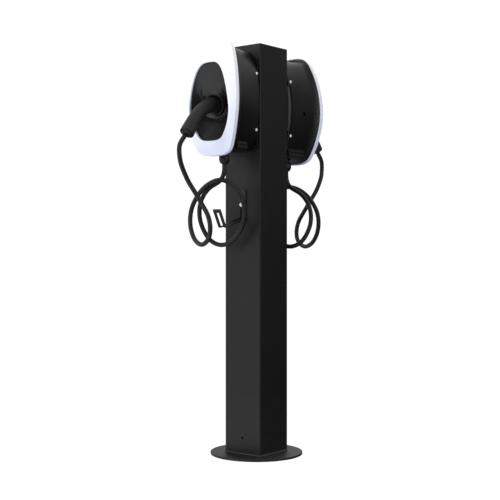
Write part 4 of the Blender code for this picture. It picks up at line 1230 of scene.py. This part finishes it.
def strap_hook(side):
    """Bent strap with a long slot down its middle."""
    elbow, tip = [ahead(*point) for point in HOOK_ARM[side]]
    bends = round_bends([ahead(HOOK_BACK, HOOK_TOP), ahead(HOOK_BACK, HOOK_BEND_Z), elbow, tip],
                        HOOK_BEND)
    slot_end = tip - (tip - elbow).normalized() * HOOK_SLOT_END
    line = [bends[0], ahead(HOOK_BACK, HOOK_SLOT_TOP)] + bends[1:-1] + [slot_end, bends[-1]]
    outer, inner = HOOK_WIDTH / 2, HOOK_SLOT / 2
    verts = [(x, p.y, p.z) for p in line for x in (-outer, -inner, inner, outer)]
    faces = []
    last = len(line) - 1
    for i in range(last):
        for strip in range(3):
            if strip == 1 and 1 <= i < last - 1:
                continue
            a = i * 4 + strip
            faces.append((a, a + 1, a + 5, a + 4))
    ob = mesh_object("strap_hook_" + side, verts, faces)
    # the flat part's normals face the post, so the strap thickens away from it
    aim_normals(ob, lambda face: face.normal.y if face.center.z > .86 else 0)
    thicken(ob, HOOK_THICK)
    drill(ob, [(HOOK_HOLE_RADIUS, (0, -.10, HOOK_BOLT_Z), (0, -.05, HOOK_BOLT_Z))])
    modify(ob, 'BEVEL', width=.0007, segments=2, limit_method='ANGLE',
           angle_limit=math.radians(50), harden_normals=False)
    sharpen(ob, 35)
    give_side(ob, side, HOOK_PAINT, "cable_hook")


def hook_bolt(side):
    at = along((0, -1, 0), ahead(HOOK_BACK + HOOK_THICK + .0002, HOOK_BOLT_Z))
    ob = socket_head("hook_button_bolt_" + side, at, radius=.0078, height=.0052, key=.0026,
                     shank_radius=.0040, shank=.0135)
    give_side(ob, side, BRIGHT, "hook_bolt")


CHARGER_PIECES = (back_plate, casing, vent_plug, side_screws, bezel, bezel_seal, fascia,
                  holster, gland, connector, cable, strap_hook, hook_bolt)

# ================================================================ studio
# Patches of light in the sky: azimuth, elevation, half of the sky kept ('' both), strength.
SKY_WHITE = (
    (50, 45, '', .50), (-90, 55, '', .70), (90, 0, '+', .19), (-120, 0, '-', 1.57),
    (-120, 0, '+', .14), (-30, 0, '', .24), (5, 0, '', .30), (-62, 0, '+', .22),
    (-90, 0, '+', .72), (140, 10, '+', .45), (-178, 12, '', .85), (100, 46, '', .95))
SKY_COOL = ((-90, -50, '', 1.14),)
SKY_TOP, SKY_LOW = .75, .62        # strength straight up in white, straight down in cool
COOL_WHITE = (.94, .98, 1.10)
BACKDROP = 1.05                    # white seen by the camera


def studio_floor():
    """White to the camera, clear to everything else."""
    size, z = 30, -.0005
    corners = [(-size, -size, z), (size, -size, z), (size, size, z), (-size, size, z)]
    floor = mesh_object("studio_floor", corners, [(0, 1, 2, 3)], smooth=False)
    material = bpy.data.materials.new("studio_white")
    material.use_nodes = True
    n = Nodes(material.node_tree)
    n.tree.nodes.clear()
    output = n.node("ShaderNodeOutputMaterial")
    white = n.node("ShaderNodeEmission")
    n.feed(white.inputs["Color"], (1, 1, 1))
    n.feed(white.inputs["Strength"], BACKDROP)
    clear = n.node("ShaderNodeBsdfTransparent")
    camera_ray = n.node("ShaderNodeLightPath").outputs["Is Camera Ray"]
    shader = n.mix_shader(camera_ray, clear.outputs[0], white.outputs[0])
    n.feed(output.inputs["Surface"], shader)
    floor.data.materials.append(material)


def studio_world():
    """White to the camera; soft patches of light for everything else."""
    world = bpy.data.worlds.new("studio_world")
    scene.world = world
    world.use_nodes = True
    n = Nodes(world.node_tree)
    n.tree.nodes.clear()
    coords = n.node("ShaderNodeTexCoord").outputs["Generated"]

    def background(colour, strength):
        node = n.node("ShaderNodeBackground")
        n.feed(node.inputs["Color"], colour)
        n.feed(node.inputs["Strength"], strength)
        return node.outputs[0]

    def ramp_along(direction, start, end, low, high):
        dot = n.node("ShaderNodeVectorMath", operation='DOT_PRODUCT')
        dot.inputs[1].default_value = Vector(direction).normalized()
        n.feed(dot.inputs[0], coords)
        return n.remap(dot.outputs["Value"], start, end, low, high, smooth=True)

    def patches(table):
        total = 0.0
        for azimuth, elevation, half, strength in table:
            a, e = math.radians(azimuth), math.radians(elevation)
            direction = (math.cos(a) * math.cos(e), math.sin(a) * math.cos(e), math.sin(e))
            patch = ramp_along(direction, start=.72, end=1.0, low=0, high=strength)
            if half:
                up = (0, 0, 1 if half == '+' else -1)
                patch = n.times(patch, ramp_along(up, start=-.30, end=.30, low=0, high=1))
            total = n.maths('ADD', total, patch)
        return total
    top = ramp_along((0, 0, 1), start=.35, end=1.0, low=0, high=SKY_TOP)
    below = ramp_along((0, 0, -1), start=-.1, end=1.0, low=0, high=SKY_LOW)
    # the light from below fades on the camera's side, towards -X and -Y it is full
    sideways = ramp_along((.63, .78, 0), start=-.3, end=.6, low=1.0, high=.15)
    sky = n.node("ShaderNodeAddShader")
    n.feed(sky.inputs[0], background((1, 1, 1), n.maths('ADD', patches(SKY_WHITE), top)))
    n.feed(sky.inputs[1], background(COOL_WHITE, n.maths('ADD', patches(SKY_COOL),
                                                         n.times(below, sideways))))
    camera_ray = n.node("ShaderNodeLightPath").outputs["Is Camera Ray"]
    shader = n.mix_shader(camera_ray, sky.outputs[0], background((1, 1, 1), BACKDROP))
    n.feed(n.node("ShaderNodeOutputWorld").inputs["Surface"], shader)


def softbox(name, at, look, size, power):
    light = bpy.data.lights.new(name, 'AREA')
    light.shape = 'RECTANGLE'
    light.size, light.size_y = size
    light.energy = power
    light.color = (1, 1, 1)
    ob = bpy.data.objects.new(name, light)
    scene.collection.objects.link(ob)
    ob.location = at
    ob.rotation_euler = (Vector(look) - Vector(at)).to_track_quat('-Z', 'Y').to_euler()


def camera():
    data = bpy.data.cameras.new("camera")
    data.sensor_width = 36
    data.lens = 76.42
    data.clip_end = 200
    ob = bpy.data.objects.new("camera", data)
    ob.location = (2.28425, -2.87144, .70209)
    ob.rotation_euler = (math.radians(90), 0, math.radians(38.85))
    scene.collection.objects.link(ob)
    scene.camera = ob
    scene.view_settings.view_transform = 'Standard'
    scene.view_settings.look = 'None'


# ================================================================ build
finish_cad_pieces()
column()
column_cap()
foot_plate()
foot_trim()
lock_screws()
for side in SIGN:
    for piece in CHARGER_PIECES:
        piece(side)
studio_floor()
studio_world()
softbox("key_softbox", at=(-1.6, -3.2, 2.4), look=(0, 0, 1.0), size=(1.8, 2.2), power=37.4)
softbox("side_softbox", at=(2.7, -.3, 1.55), look=(0, 0, 1.2), size=(1.0, 1.4), power=21.0)
camera()
